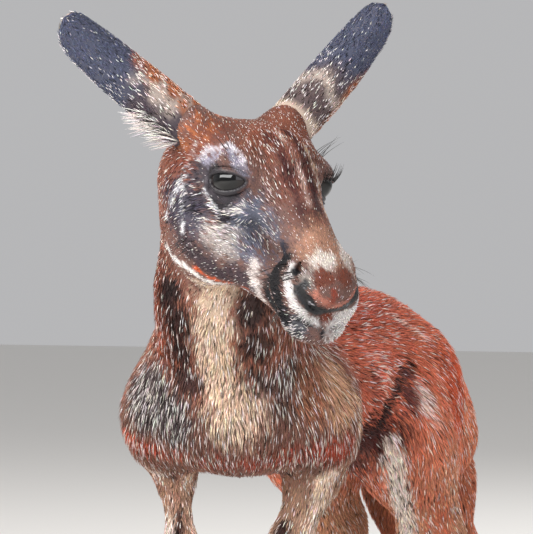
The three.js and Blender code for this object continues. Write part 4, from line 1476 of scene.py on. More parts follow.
@dataclass(frozen=True)
class EyeFinish:
    """The wet eye: a dark iris and pupil under clear fluid."""

    def make(self) -> Finish:
        """Gives the eye a near-black ball with sharp window-like highlights."""
        recipe = Recipe("wet_eye")
        return recipe.finish(Base_Color=recipe.tint(), Roughness=0.3, Specular_IOR_Level=0.0, Coat_Weight=1.0,
                             Coat_Roughness=0.02, Coat_IOR=1.42)


@dataclass(frozen=True)
class HornFinish:
    """Claw horn: dark keratin, streaked along."""

    dark: str = "#221d1b"

    def make(self) -> Finish:
        """Gives the eye hard, half-polished dark horn.

        Returns:
            The material.
        """
        recipe = Recipe("claw_horn")
        colour = recipe.varied(linear(self.dark), recipe.noise(2.2), 0.7, 1.5)
        grain = recipe.bump(recipe.noise(1.2), 0.15, 0.4)
        return recipe.finish(Base_Color=colour, Roughness=0.34, Normal=grain)


@dataclass(frozen=True)
class WhiskerFinish:
    """Whisker and lash: stiff dark hair."""

    dark: str = "#171313"

    def make(self) -> Finish:
        """Gives the eye fine glossy black lines."""
        return Recipe("whisker_hair").finish(Base_Color=(*linear(self.dark), 1.0), Roughness=0.35)


@dataclass(frozen=True)
class FloorFinish:
    """A plain pale studio floor."""

    pale: str = "#e9e7e3"

    def make(self) -> Finish:
        """Gives the eye a clean matt ground."""
        return Recipe("pale_floor").finish(Base_Color=(*linear(self.pale), 1.0), Roughness=0.9,
                                           Specular_IOR_Level=0.1)


# ---- Eyes and lids ----


@dataclass(frozen=True)
class Eye:
    """One eyeball and the opening of its lids, in angles seen from the ball's middle."""

    side: Side
    radius: float = 18.6
    half_width: float = 57.0
    above: float = 22.0
    below: float = 22.0
    columns: int = 84  # round the lids
    rings: int = 40  # from the pupil to the back of the ball
    around: int = 64
    cornea: float = 0.035  # how far it stands out, as a share of the radius

    @property
    def centre(self) -> Array:
        """The ball's middle in the head's frame."""
        return np.array((EYE_AT[0] * self.side.value, EYE_AT[1], EYE_AT[2]))

    def axes(self) -> Array:
        """Columns: toward the nose, up, and out of the eye, in the head's frame.

        Returns:
            A 3 x 3 matrix.
        """
        mirror = np.array((-self.side.value, 1, 1))
        out = unit(np.array((-0.94, -0.39, 0.15) if self.side is Side.RIGHT else (-0.566, -0.79, 0.2)))
        nose = np.array((0.507, -0.638, 0.580))
        nose = unit(nose - nose @ out * out)
        return np.stack([nose * mirror, np.cross(out, nose) * mirror, out * mirror], 1)

    def spots(self, across: Array, rise: Array, reach: Array | float) -> Array:
        """Points at angles from the way the eye looks.

        Args:
            across: Degrees toward the nose.
            rise: Degrees upward.
            reach: Distance from the ball's middle.

        Returns:
            Points in the head's frame.
        """
        turn = np.hypot(across, rise)
        share = np.where(turn > 1e-6, np.sin(np.radians(turn)) / np.maximum(turn, 1e-6), math.pi / 180)
        ways = np.stack([across * share, rise * share, np.cos(np.radians(turn))], -1)
        return self.centre + (ways @ self.axes().T) * np.asarray(reach)[..., None]

    def rim(self, margin: Array | float, angle: Array) -> tuple[Array, Array]:
        """Angles of the opening's edge, moved outward by a margin in degrees.

        Args:
            margin: Degrees outside the opening.
            angle: Angles round the opening.

        Returns:
            Degrees toward the nose and upward.
        """
        rise = np.sin(angle)
        height = np.where(rise > 0, self.above, self.below)
        across = self.half_width * np.cos(angle) + margin * np.cos(angle)
        upward = height * np.sign(rise) * np.abs(rise) ** 1.2 + margin * rise
        return across, upward

    def outside(self, points: Array) -> Array:
        """How many degrees outside the opening each point lies, nearly; large away from the eye.

        Args:
            points: Places in the animal's frame.

        Returns:
            Degrees.
        """
        local = (points - HEAD.at) @ HEAD.axes - self.centre
        ways = local @ self.axes()
        turn = np.degrees(np.arctan2(np.hypot(ways[:, 0], ways[:, 1]), ways[:, 2]))
        angle = np.arctan2(ways[:, 1] * self.half_width, ways[:, 0] * (self.above + self.below) / 2)
        across, upward = self.rim(0.0, angle)
        far = np.maximum(np.linalg.norm(local, axis=1) - self.radius - 9, 0)
        return turn - np.hypot(across, upward) + far * 12

    def bulge(self) -> Shape:
        """The full flesh round the ball."""
        return Oval(HEAD.point(self.centre), (22.4, 22.4, 22.4), 7, Region.FACE,
                    HEAD.direction((0, 0.9, -0.2)))

    def cut(self) -> Shape:
        """The opening in that flesh."""
        axes = self.axes()
        return Oval(HEAD.point(self.centre + 14 * axes[:, 2]), (19.5, 11.8, 12.0), axes=HEAD.axes @ axes)

    def fold(self, margin: float, first: float, last: float, radius: float) -> Shapes:
        """A crease that follows the lid at a margin, between two angles in degrees.

        Args:
            margin: Degrees outside the opening.
            first: Where it starts.
            last: Where it ends.
            radius: Half its width.

        Returns:
            Its rods.
        """
        angle = np.radians(np.linspace(first, last, 9))
        across, upward = self.rim(margin, angle)
        route = self.spots(across, upward, 21.6)
        return chain(HEAD, route, radius)

    def ball(self, finish: Finish) -> Piece:
        """The eyeball, its pole at the pupil and its rings closest there.

        Args:
            finish: Its material.

        Returns:
            The eyeball.
        """
        rings, columns = self.rings, self.around
        turn = 180 * np.linspace(0, 1, rings + 1) ** 1.15
        angle = np.arange(columns) * 2 * math.pi / columns
        across = (turn[:, None] * np.cos(angle)).ravel()
        upward = (turn[:, None] * np.sin(angle)).ravel()
        swell = 1 + self.cornea * smoothstep((34 - turn) / 26)
        points = HEAD.points(self.spots(across, upward, np.repeat(self.radius * swell, columns)))
        made = make_mesh(f"eyeball_{self.side.word}", points, ring_quads(rings, columns), finish)
        ring = np.repeat(turn, columns)[:, None]
        black, brown, edge = linear("#050506"), linear("#120a08"), linear("#20140f")
        colour = black + (brown - black) * smoothstep((ring - 30) / 14)
        colour = colour + (edge - colour) * smoothstep((ring - 50) / 10)
        set_colour(made, colour)
        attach(made, "root")
        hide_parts(f"eye_{self.side.word}")
        return made

    def lids(self) -> tuple[Array, Array, Array]:
        """The rolled rim of both lids.

        Returns:
            Points in the animal's frame, quads, and the share of dark rim at each point.
        """
        margins = np.array((1.0, -0.4, 1.2, 4.0, 8.5, 14.0, 21.0))
        reaches = self.radius + np.array((-1.6, 0.35, 1.5, 2.2, 2.3, 1.7, -1.2))
        dark = np.array((1, 1, 1, 0.9, 0.55, 0.0, 0.0))
        angle = np.arange(self.columns) * 2 * math.pi / self.columns
        rows = len(margins)
        across, upward = self.rim(np.repeat(margins, self.columns), np.tile(angle, rows))
        reach = np.repeat(reaches, self.columns)
        points = HEAD.points(self.spots(across, upward, reach))
        faces = ring_quads(rows - 1, self.columns)
        if self.side is Side.LEFT:
            faces = faces[:, ::-1]
        return points, faces, np.repeat(dark, self.columns)


# ---- Skin ----


@dataclass(frozen=True)
class Face:
    """Nostrils, lips and folds: what the skin adds to the head's solids."""

    def hollows(self) -> list[Hollow]:
        """Soft cuts, on both sides of the face.

        Returns:
            The cuts, in order.
        """
        nostrils = chain(HEAD, ((-34, -104, -7), (-29, -99, -3), (-22, -94, -1)), 3.0, True)
        creases: Shapes = []
        openings: Shapes = []
        for side in Side:
            eye = Eye(side)
            openings.append(eye.cut())
            creases += eye.fold(13, 25, 150, 0.9)
            creases += eye.fold(19, 205, 330, 0.9)
        return [
            Hollow(openings, 2.0),
            Hollow(creases, 3.0),
            Hollow(nostrils, 2.5),
            Hollow([*chain(HEAD, LIP_V, 1.3), *chain(HEAD, CLEFT, 0.8)], 3.0),
            Hollow(chain(HEAD, MOUTH, 1.0, True), 3.0),
        ]

    def swells(self) -> Shapes:
        """Flesh round the eyes and nostrils.

        Returns:
            Its shapes.
        """
        crown = Maker(HEAD, Region.FACE, (0, 1, 0.1))
        made: Shapes = [Eye(side).bulge() for side in Side]
        for side in Side:
            s = side.value
            reach = 27 if side is Side.RIGHT else 22
            made.append(crown.limb((s * reach, -102, 1), (s * 18, -98, 6), 3.4, 3.4, 8))
        made.append(crown.limb((-44, 22, 18), (-58, 10, 16), 5, 4, 9))
        return made


BARE = (  # only their cover is read, not their colour
    patch(HEAD, NOSTRIL, (6, 6, 5), "#000000", 3, both=True),
    stroke(HEAD, LIP_V, 4.4, "#000000", 2.5),
    stroke(HEAD, CLEFT, 1.0, "#000000", 2),
    stroke(HEAD, MOUTH, 1.2, "#000000", 2, both=True),
)


def bareness(points: Array) -> Array:
    """Where the skin has no hair at all.

    Args:
        points: Places in the animal's frame.

    Returns:
        0 to 1 for each.
    """
    still = np.zeros(len(points))
    bare = np.max([mark.cover(points, still) for mark in BARE], axis=0)
    for side in Side:
        bare = np.maximum(bare, smoothstep((8.5 - Eye(side).outside(points)) / 3))
    return bare


@dataclass(frozen=True, eq=False)
class Surface:
    """Part of the skin as arrays: points, normals and quads."""

    points: Array
    normals: Array
    quads: Array


@dataclass(eq=False)
class Skin:
    """The one skin: body, head, ears and lids in a single mesh."""

    body: Body
    painter: Painter
    shade: float = 0.62  # painted shade: how dark the nap and the ear leaves are beside their tufts
    bare_gain: float = 0.5  # how much lighter it is where it is bare, with less painted shade
    surfaces: list[Surface] = field(default_factory=list)

    def build(self) -> None:
        """Meshes each zone."""
        for zone in zones():
            points, quads = zone.mesh(self.body)
            past = zone.beyond(points)
            reach = 8.6 if zone.inner else -0.05
            quads = quads[~(past[quads] > reach).all(1)]
            normals = unit(slope_of(self.body, points))
            self.surfaces.append(Surface(points, normals, quads))
            log.info("zone at %.1f mm: %d quads", zone.cell, len(quads))

    def dress(self, finish: Finish) -> Piece:
        """Joins everything into one object with its colours.

        Args:
            finish: Its material.

        Returns:
            The skin.
        """
        points = [surface.points for surface in self.surfaces]
        quads = [surface.quads for surface in self.surfaces]
        fur = [self.painter.read(part) for part in points]
        bare = [bareness(part) for part in points]
        # the nap darkened as painted shade between the tufts, less so where it is bare
        tints = [part.tint * self.shade * (1 + self.bare_gain * share[:, None])
                 for part, share in zip(fur, bare)]
        for side in Side:
            lid, faces, dark = Eye(side).lids()
            colour = self.painter.read(lid).tint
            colour = colour + (linear("#1b181d") - colour) * dark[:, None]
            points.append(lid)
            quads.append(faces)
            tints.append(colour)
            bare.append(smoothstep(dark * 1.5))
            leaf, faces, colour = self.leaf(Ear(side))
            points.append(leaf)
            quads.append(faces)
            tints.append(colour)
            bare.append(np.zeros(len(leaf)))
        starts = np.cumsum([0] + [len(part) for part in points[:-1]])
        joined = np.concatenate([part + start for part, start in zip(quads, starts)])
        used, inverse = np.unique(joined, return_inverse=True)
        made = make_mesh("skin", np.concatenate(points)[used], inverse.reshape(joined.shape), finish)
        set_colour(made, np.concatenate(tints)[used])
        set_share(made, "Bare", np.concatenate(bare)[used])
        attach(made, "root")
        flesh = [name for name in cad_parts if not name.startswith(("eye_", "claw_"))]
        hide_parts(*flesh)
        log.info("skin: %d quads", len(joined))
        return made

    def leaf(self, ear: Ear) -> tuple[Array, Array, Array]:
        """Both faces of an ear, joined round the rim: points, quads and colours.

        Args:
            ear: Which ear.

        Returns:
            Three arrays.
        """
        rows, columns = ear.rows, ear.columns
        t, s = np.meshgrid(np.linspace(0, 1, rows + 1), np.linspace(-1, 1, columns + 1), indexing="ij")
        t, s = t.ravel(), s.ravel()
        half = ear.half(t, s)
        points = np.concatenate([ear.sheet(t, s, half), ear.sheet(t, s, -half)])
        # the ear's leaf darkened by the same painted shade as the nap
        colours = np.concatenate([ear.tint(t, s, True), ear.tint(t, s, False)]) * self.shade
        count = (rows + 1) * (columns + 1)
        number = np.arange(count).reshape(rows + 1, columns + 1)
        outer = np.stack([number[:-1, :-1], number[:-1, 1:], number[1:, 1:], number[1:, :-1]], -1)
        outer = outer.reshape(-1, 4)
        inner = outer[:, ::-1] + count
        edge = np.concatenate([number[:, 0], number[-1, 1:], number[::-1, -1][1:], number[0, ::-1][1:]])
        rim = np.stack([edge[:-1], edge[1:], edge[1:] + count, edge[:-1] + count], -1)
        return points, np.concatenate([outer, inner, rim]), colours


# ---- Coat ----


@dataclass(eq=False)
class Roots:
    """Where tufts grow and what each is like, as arrays of one length."""

    at: Array
    normal: Array
    lie: Array
    length: Array
    width: Array
    lift: Array
    tint: Array
    region: Array
    spot: Array

    def pick(self, chosen: Array) -> "Roots":
        """Some of the roots."""
        return Roots(*[getattr(self, key)[chosen] for key in self.__dataclass_fields__])

    @staticmethod
    def join(parts: Sequence["Roots"]) -> "Roots":
        """Several sets as one."""
        return Roots(*[np.concatenate([getattr(part, key) for part in parts])
                       for key in Roots.__dataclass_fields__])


@dataclass(frozen=True)
class Atlas:
    """An unwrap of the skin's own shapes: a square grid of charts, one for each limb, oval and ear face."""

    count: int
    margin: float = 0.04

    def spots(self, chart: Array, round_share: Array, along_share: Array) -> Array:
        """Places in the atlas.

        Args:
            chart: Chart numbers.
            round_share: 0 to 1 round the shape.
            along_share: 0 to 1 along it.

        Returns:
            One pair for each.
        """
        side = math.ceil(math.sqrt(self.count))
        local = np.stack([round_share, np.clip(along_share, 0, 1)], 1) * (1 - 2 * self.margin) + self.margin
        return (np.stack([chart % side, chart // side], 1) + local) / side


TUFT_FACES = np.array([
    (0, 2, 1),
    (0, 1, 4), (0, 4, 3), (1, 2, 5), (1, 5, 4), (2, 0, 3), (2, 3, 5),
    (3, 4, 6), (4, 5, 6), (5, 3, 6),
])
TUFT_PATCH = np.array([
    ((0, 0), (0.66, 0), (0.33, 0)),
    ((0, 0), (0.33, 0), (0.33, 0.5)), ((0, 0), (0.33, 0.5), (0, 0.5)),
    ((0.33, 0), (0.66, 0), (0.66, 0.5)), ((0.33, 0), (0.66, 0.5), (0.33, 0.5)),
    ((0.66, 0), (1, 0), (1, 0.5)), ((0.66, 0), (1, 0.5), (0.66, 0.5)),
    ((0, 0.5), (0.33, 0.5), (0.5, 1)), ((0.33, 0.5), (0.66, 0.5), (0.5, 1)),
    ((0.66, 0.5), (1, 0.5), (0.5, 1)),
])
TUFT_PAINTED_SHADE_AND_LIGHT = (0.62, 0.62, 0.62, 1.0, 1.0, 1.0, 1.14)  # one colour gain for each point of a tuft: root, middle and tip; the root is darkened as painted shade and the tip lightened as painted light
PATCH_SIZE = 0.003
MOST_TUFTS = 19900  # in one piece, so that it stays under 200,000 triangles
PALE_HAIR = linear("#ece6e2")


@dataclass(eq=False)
class Coat:
    """Every tuft of the animal, as a few joined meshes."""

    painter: Painter
    seed: int = 8
    sole: float = 1.5  # no tufts grow below this height

    def __post_init__(self) -> None:
        """Seeds the randomness and lays out the atlas, with two charts for each ear."""
        self.rng = np.random.default_rng(self.seed)
        self.atlas = Atlas(len(self.painter.body.shapes) + 4)

    def on_skin(self, surface: Surface, keep: Field) -> Roots:
        """Roots spread evenly over part of the skin.

        Args:
            surface: That part.
            keep: Which points are the surface's own.

        Returns:
            The roots.
        """
        corners = surface.points[surface.quads]
        one = np.cross(corners[:, 1] - corners[:, 0], corners[:, 3] - corners[:, 0])
        two = np.cross(corners[:, 3] - corners[:, 2], corners[:, 1] - corners[:, 2])
        area = (np.linalg.norm(one, axis=1) + np.linalg.norm(two, axis=1)) / 2
        spacing = np.array([region.value.spacing for region in REGIONS])
        middle = corners.mean(1)
        shares = self.painter.body.shares(middle)
        face_spacing = spacing[self.painter.body.regions[shares.argmax(0)]]
        count = np.floor(area / face_spacing ** 2 + self.rng.random(len(area))).astype(int)
        face = np.repeat(np.arange(len(area)), count)
        turn = np.arange(len(face)) - np.repeat(np.cumsum(count) - count, count)
        start = self.rng.random((len(area), 2))[face]
        u, v = ((start + turn[:, None] * np.array((0.7549, 0.5698))) % 1).T[:, :, None]
        weights = ((1 - u) * (1 - v), u * (1 - v), u * v, (1 - u) * v)
        quads = surface.quads[face]
        at = sum(weight * surface.points[quads[:, i]] for i, weight in enumerate(weights))
        normal = unit(sum(weight * surface.normals[quads[:, i]] for i, weight in enumerate(weights)))
        chosen = keep(at) & (at[:, 2] > self.sole)
        return self.dressed(at[chosen], normal[chosen])

    def dressed(self, at: Array, normal: Array) -> Roots:
        """Gives roots on the body their length, lie and colour.

        Args:
            at: Where they are.
            normal: The skin's normals there.

        Returns:
            The roots, without those on bare skin.
        """
        fur = self.painter.read(at)
        count = len(at)
        sizes = np.array([(pelt.value.length, pelt.value.width, pelt.value.lift) for pelt in REGIONS])
        length, width, lift = sizes[fur.region].T
        lift = lift + fur.ruffle
        side = np.cross(normal, fur.lie)
        sway = 0.2 * ripple(at, 30, 31) + 0.12 * self.rng.normal(size=count)
        lie = unit(fur.lie - (fur.lie * normal).sum(1)[:, None] * normal + side * sway[:, None])
        trim = self.trim(at)
        length = length * self.rng.uniform(0.72, 1.25, count) * trim
        width = width * self.rng.uniform(0.7, 1.15, count) * (0.4 + 0.6 * trim)
        lift = lift * self.rng.uniform(0.6, 1.4, count) + 0.04 * ripple(at, 18, 32)
        tint = self.grizzled(fur.tint, fur.frost, fur.dusk)
        start, way = zip(*[shape.axis for shape in self.painter.body.shapes])
        start, way = np.array(start)[fur.chart], np.array(way)[fur.chart]
        off = at - start
        along = (off * way).sum(1)
        one = unit(np.cross(way, np.array((0.31, 0.17, 0.93))))
        two = np.cross(way, one)
        angle = np.arctan2((off * two).sum(1), (off * one).sum(1)) / (2 * math.pi) + 0.5
        low = np.full(len(self.painter.body.shapes), np.inf)
        high = -low
        np.minimum.at(low, fur.chart, along)
        np.maximum.at(high, fur.chart, along)
        share = (along - low[fur.chart]) / (high - low + 1e-6)[fur.chart]
        spot = self.atlas.spots(fur.chart, angle, share)
        roots = Roots(at, normal, lie, length, width, lift, tint, fur.region, spot)
        return roots.pick(self.rng.random(count) > bareness(at) * 1.4)

    @staticmethod
    def trim(at: Array) -> Array:
        """How short the coat is near eyes and nose, as a share of its full length.

        Args:
            at: Where the tufts are.

        Returns:
            0 to 1 for each.
        """
        nose = np.linalg.norm(at - HEAD.point((0, -131, -12)), axis=1)
        share = 0.5 + 0.5 * smoothstep((nose - 16) / 60)
        head = np.linalg.norm(at - HEAD.point((0, 0, -20)), axis=1)
        share = np.minimum(share, 0.5 + 0.5 * smoothstep((head - 84) / 70) + 0.5 * (head < 60))
        for side in Side:
            share = np.minimum(share, 0.38 + 0.62 * smoothstep((Eye(side).outside(at) - 8) / 60))
        return share

    def grizzled(self, tint: Array, frost: Array, dusk: Array) -> Array:
        """Picks pale, dark and plain tufts and varies each.

        Args:
            tint: Ground colours.
            frost: Share of pale tufts.
            dusk: Share of dark ones.

        Returns:
            One colour for each tuft.
        """
        count = len(tint)
        draw = self.rng.random(count)
        colour = np.where((draw < frost)[:, None], tint * 0.35 + PALE_HAIR * 0.6, tint)
        colour = np.where((draw > 1 - dusk)[:, None], tint * 0.2, colour)
        colour = colour * self.rng.uniform(0.8, 1.24, (count, 1))
        return colour * (1 + self.rng.normal(0, 0.05, (count, 3)))

    def on_ear(self, ear: Ear, outer: bool) -> Roots:
        """Roots on one face of an ear.

        Args:
            ear: Which ear.
            outer: Whether this is the back of the ear.

        Returns:
            The roots outside the head.
        """
        pelt = Region.EAR.value
        count = 1900 if outer else 1400
        t = self.rng.uniform(0.02, 0.985, count)
        s = self.rng.uniform(-0.98, 0.98, count)
        half = ear.half(t, s) * (1 if outer else -1)
        at = ear.sheet(t, s, half)
        normal = unit(ear.sheet(t, s, half + (1.0 if outer else -1.0)) - at)
        lie = unit(ear.sheet(np.minimum(t + 0.02, 1), s, half) - at)
        side = np.cross(normal, lie)
        fan = 0.15 * self.rng.normal(size=count) + 0.25 * s * (1 if outer else 0.4)
        lie = unit(lie + side * fan[:, None])
        rim = smoothstep((np.abs(s) - 0.8) / 0.2)
        length = pelt.length * self.rng.uniform(0.7, 1.2, count) * (1 - 0.3 * t) * (1 if outer else 1.15)
        lift = pelt.lift * self.rng.uniform(0.5, 1.5, count) + 0.05 * rim
        frost = 0.36 - 0.33 * smoothstep((t - 0.42) / 0.2) if outer else np.full(count, 0.3)
        tint = self.grizzled(ear.tint(t, s, outer), frost, np.full(count, 0.12))
        width = np.full(count, pelt.width) * (1 - 0.25 * t)
        roots = Roots(at, normal, lie, length, width, lift, tint, *self.ear_spots(ear, outer, t, s))
        return roots.pick(self.painter.body(at) > 0.4)

    def ear_spots(self, ear: Ear, outer: bool, t: Array, s: Array) -> tuple[Array, Array]:
        """Region and place in the atlas of tufts on one face of an ear.

        Args:
            ear: Which ear.
            outer: Whether this is the back of the ear.
            t: Along the ear.
            s: Across it.

        Returns:
            Two arrays.
        """
        chart = len(self.painter.body.shapes) + (ear.side is Side.LEFT) * 2 + (not outer)
        region = np.full(len(t), REGIONS.index(Region.EAR))
        return region, self.atlas.spots(np.full(len(t), chart), s / 2 + 0.5, t)

    def ear_fringe(self, ear: Ear) -> Roots:
        """Fine hairs that edge the ear's rim.

        Args:
            ear: Which ear.

        Returns:
            The roots.
        """
        count = 520
        t = np.tile(np.linspace(0.06, 0.97, count // 2), 2)
        s = np.repeat((-1.0, 1.0), count // 2)
        at = ear.sheet(t, s, 0.0)
        along = unit(ear.sheet(np.minimum(t + 0.02, 1), s, 0.0) - at)
        outward = unit(at - ear.sheet(t, s * 0.93, 0.0))
        lie = unit(along + outward * self.rng.uniform(0.15, 0.6, count)[:, None])
        normal = unit(np.cross(lie, np.cross(outward, lie)))
        length = self.rng.uniform(4, 8, count) * (1.25 - 0.6 * t)
        tint = self.grizzled(ear.tint(t, s, True), np.full(count, 0.45), np.full(count, 0.1))
        width, lift = np.full(count, 0.9), np.full(count, 0.1)
        return Roots(at, normal, lie, length, width, lift, tint, *self.ear_spots(ear, True, t, s))

    def ear_fan(self, ear: Ear) -> Roots:
        """Long pale hairs at the lower notch of an ear.

        Args:
            ear: Which ear.

        Returns:
            The roots.
        """
        count = 230
        t = self.rng.uniform(0.0, 0.3, count)
        s = self.rng.uniform(0.4, 0.75, count) * ear.side.value
        at = ear.sheet(t, s, 0.0)
        along = unit(ear.sheet(np.minimum(t + 0.03, 1), s, 0.0) - at)
        outward = unit(ear.sheet(t, s, 1.0) - at)
        lie = unit(along * 0.8 + outward * self.rng.uniform(0.15, 0.9, count)[:, None])
        normal = unit(np.cross(lie, np.cross(outward, lie)) + 0.01)
        length = self.rng.uniform(9, 23, count)
        cream = np.tile(linear("#c4bab4"), (count, 1))
        tint = self.grizzled(cream, np.full(count, 0.6), np.full(count, 0.05))
        width, lift = np.full(count, 1.2), np.full(count, 0.12)
        return Roots(at, normal, lie, length, width, lift, tint, *self.ear_spots(ear, False, t, s))

    def build(self, skin: Skin) -> Roots:
        """Every root of the animal.

        Args:
            skin: The built skin.

        Returns:
            The roots.
        """
        parts = []
        for zone, surface in zip(zones(), skin.surfaces):
            parts.append(self.on_skin(surface, lambda at, zone=zone: zone.beyond(at) < 0))
        for side in Side:
            ear = Ear(side)
            parts += [self.on_ear(ear, True), self.on_ear(ear, False), self.ear_fringe(ear)]
        parts.append(self.ear_fan(Ear(Side.RIGHT)))
        return Roots.join(parts)

    def dress(self, roots: Roots, finish: Finish) -> list[Piece]:
        """Makes the coat's pieces, each of one region or part of one.

        Args:
            roots: Every root.
            finish: Its material.

        Returns:
            The pieces.
        """
        made = []
        for index, region in enumerate(REGIONS):
            own = np.flatnonzero(roots.region == index)
            pelt = region.value
            pieces = max(1, math.ceil(len(own) / MOST_TUFTS))
            for number, chosen in enumerate(np.array_split(own, pieces)):
                name = f"coat_{pelt.piece}" + (f"_{number + 1}" if pieces > 1 else "")
                made.append(self.tufts(name, roots.pick(chosen), pelt.slot, finish))
                log.info("%s: %d tufts", name, len(chosen))
        return made

    @staticmethod
    def tufts(name: str, roots: Roots, slot: str, finish: Finish) -> Piece:
        """One piece: three-sided tufts, each closed, thin and bent along the body.

        Args:
            name: Its name.
            roots: Its roots.
            slot: Its material slot; not used.
            finish: Its material.

        Returns:
            The piece.
        """
        side = unit(np.cross(roots.normal, roots.lie))
        spans, shares, drops = (0.38, 0.5), (0.0, 0.45), (0.8, 0.0)
        around = np.radians((90, 210, 330))
        layers = []
        for span, share, drop in zip(spans, shares, drops):
            reach = (roots.length * share)[:, None]
            height = (roots.length * roots.lift * (1.5 * share - 0.5 * share ** 2) - drop)[:, None]
            middle = roots.at + roots.lie * reach + roots.normal * height
            for turn in around:
                layers.append(middle + (side * math.cos(turn) + roots.normal * math.sin(turn) * 0.45)
                              * (roots.width * span)[:, None])
        layers.append(roots.at + roots.lie * roots.length[:, None]
                      + roots.normal * (roots.length * roots.lift)[:, None])
        points = np.stack(layers, 1).reshape(-1, 3)
        starts = np.arange(len(roots.at))[:, None, None] * len(TUFT_PAINTED_SHADE_AND_LIGHT)
        faces = (TUFT_FACES[None] + starts).reshape(-1, 3)
        made = make_mesh(name, points, faces, finish)
        # each tuft's colour darkened at the root as painted shade and lightened at the tip as painted light
        set_colour(made, (roots.tint[:, None, :] * np.array(TUFT_PAINTED_SHADE_AND_LIGHT)[:, None]).reshape(-1, 3))
        spots = roots.spot[:, None, None, :] + (TUFT_PATCH[None] - 0.5) * PATCH_SIZE
        layer = made.data.uv_layers.new(name="OFBake")
        layer.data.foreach_set("uv", spots.astype(np.float32).ravel())
        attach(made, "root")
        return made


# ---- Claws and whiskers ----


@dataclass(frozen=True)
class Claw:
    """A curved horn claw that starts at a toe's tip and droops forward."""

    tip: Array
    forward: Array
    length: float
    thickness: float
    rings: int = 12
    around: int = 10

    def build(self) -> tuple[Array, Array]:
        """Points and triangles of the claw, closed at both ends.

        Returns:
            Points and triangles.
        """
        forward = unit(self.forward)
        across = unit(np.cross((0, 0, 1), forward))
        up = np.cross(forward, across)
        t = np.linspace(0, 1, self.rings + 1)
        radius = np.maximum(self.thickness / 2 * (1 - t) ** 0.7, 0.25)
        middle = self.tip + (forward * self.length) * t[:, None] - up * (0.3 * self.length * t ** 2)[:, None]
        angle = np.arange(self.around) * 2 * math.pi / self.around
        ring = across * 0.72 * np.cos(angle)[:, None] + up * np.sin(angle)[:, None]
        points = (middle[:, None] + radius[:, None, None] * ring[None]).reshape(-1, 3)
        a, d, c, b = ring_quads(self.rings, self.around).T
        fan = np.arange(1, self.around - 1)
        last = self.rings * self.around
        triangles = ((a, b, c), (a, c, d), (fan * 0, fan + 1, fan),
                     (fan * 0 + last, fan + last, fan + 1 + last))
        return points, np.concatenate([np.stack(corners, 1) for corners in triangles])


HIND_CLAWS = {"fourth": (38, 19), "fifth": (26, 13), "third": (19, 8), "second": (19, 8)}


@dataclass(frozen=True)
class Claws:
    """All claws, one piece for each foot."""

    anatomy: Anatomy
    fore_length: float = 21.5
    fore_thickness: float = 8.0
    hind_scale: tuple[float, float] = (0.96, 0.94)  # length and thickness beside the table's

    def hind(self, side: Side) -> list[Claw]:
        """Four claws of a hind foot.

        Args:
            side: Which side.

        Returns:
            The claws.
        """
        made = []
        for name, (root, tip, _, thin) in self.anatomy.toes(side).items():
            way = unit(np.subtract(tip, root))
            length, thickness = HIND_CLAWS[name]
            longer, thicker = self.hind_scale
            made.append(Claw(np.array(tip) + way * (thin * 0.35), way, length * longer, thickness * thicker))
        return made

    def fore(self, side: Side) -> list[Claw]:
        """Five claws of a forepaw.

        Args:
            side: Which side.

        Returns:
            The claws.
        """
        made = []
        for index in range(-2, 3):
            knuckle, tip = (CHEST.point(point) for point in self.anatomy.finger(side, index))
            way = unit(tip - knuckle)
            made.append(Claw(tip + way * 3.0, way, self.fore_length, self.fore_thickness))
        return made

    def dress(self, finish: Finish) -> list[Piece]:
        """Makes the four pieces.

        Args:
            finish: Its material.

        Returns:
            The pieces.
        """
        made = []
        for side in Side:
            for place, claws in (("hind", self.hind(side)), ("fore", self.fore(side))):
                points, faces, start = [], [], 0
                for claw in claws:
                    at, triangles = claw.build()
                    points.append(at)
                    faces.append(triangles + start)
                    start += len(at)
                piece = make_mesh(f"claws_{place}_{side.word}", np.concatenate(points),
                                  np.concatenate(faces), finish)
                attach(piece, "root")
                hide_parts(*[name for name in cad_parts
                                     if name.startswith(f"claw_{place}_{side.word}")])
                made.append(piece)
        log.info("claws: %d pieces", len(made))
        return made


@dataclass(frozen=True)
class Bristles:
    """A group of stiff hairs, given for the right side in the head's frame."""

    centre: Triple
    spread: Triple  # how far roots scatter
    way: Triple
    length: tuple[float, float]  # shortest and longest
    count: int  # on each side
    width: float = 0.7  # at the root


WHISKERS = (
    Bristles((-34, -92, -10), (4, 12, 9), (-0.9, 0.15, -0.35), (22, 48), 16),
    Bristles((-24, -106, -46), (9, 8, 5), (-0.4, -0.25, -0.9), (10, 22), 10, 0.6),
    Bristles((-42, -8, -62), (5, 5, 4), (-0.75, -0.1, -0.65), (18, 34), 7),
    Bristles((-52, 16, 22), (6, 4, 2), (-0.6, 0.3, 0.75), (14, 26), 6),
)


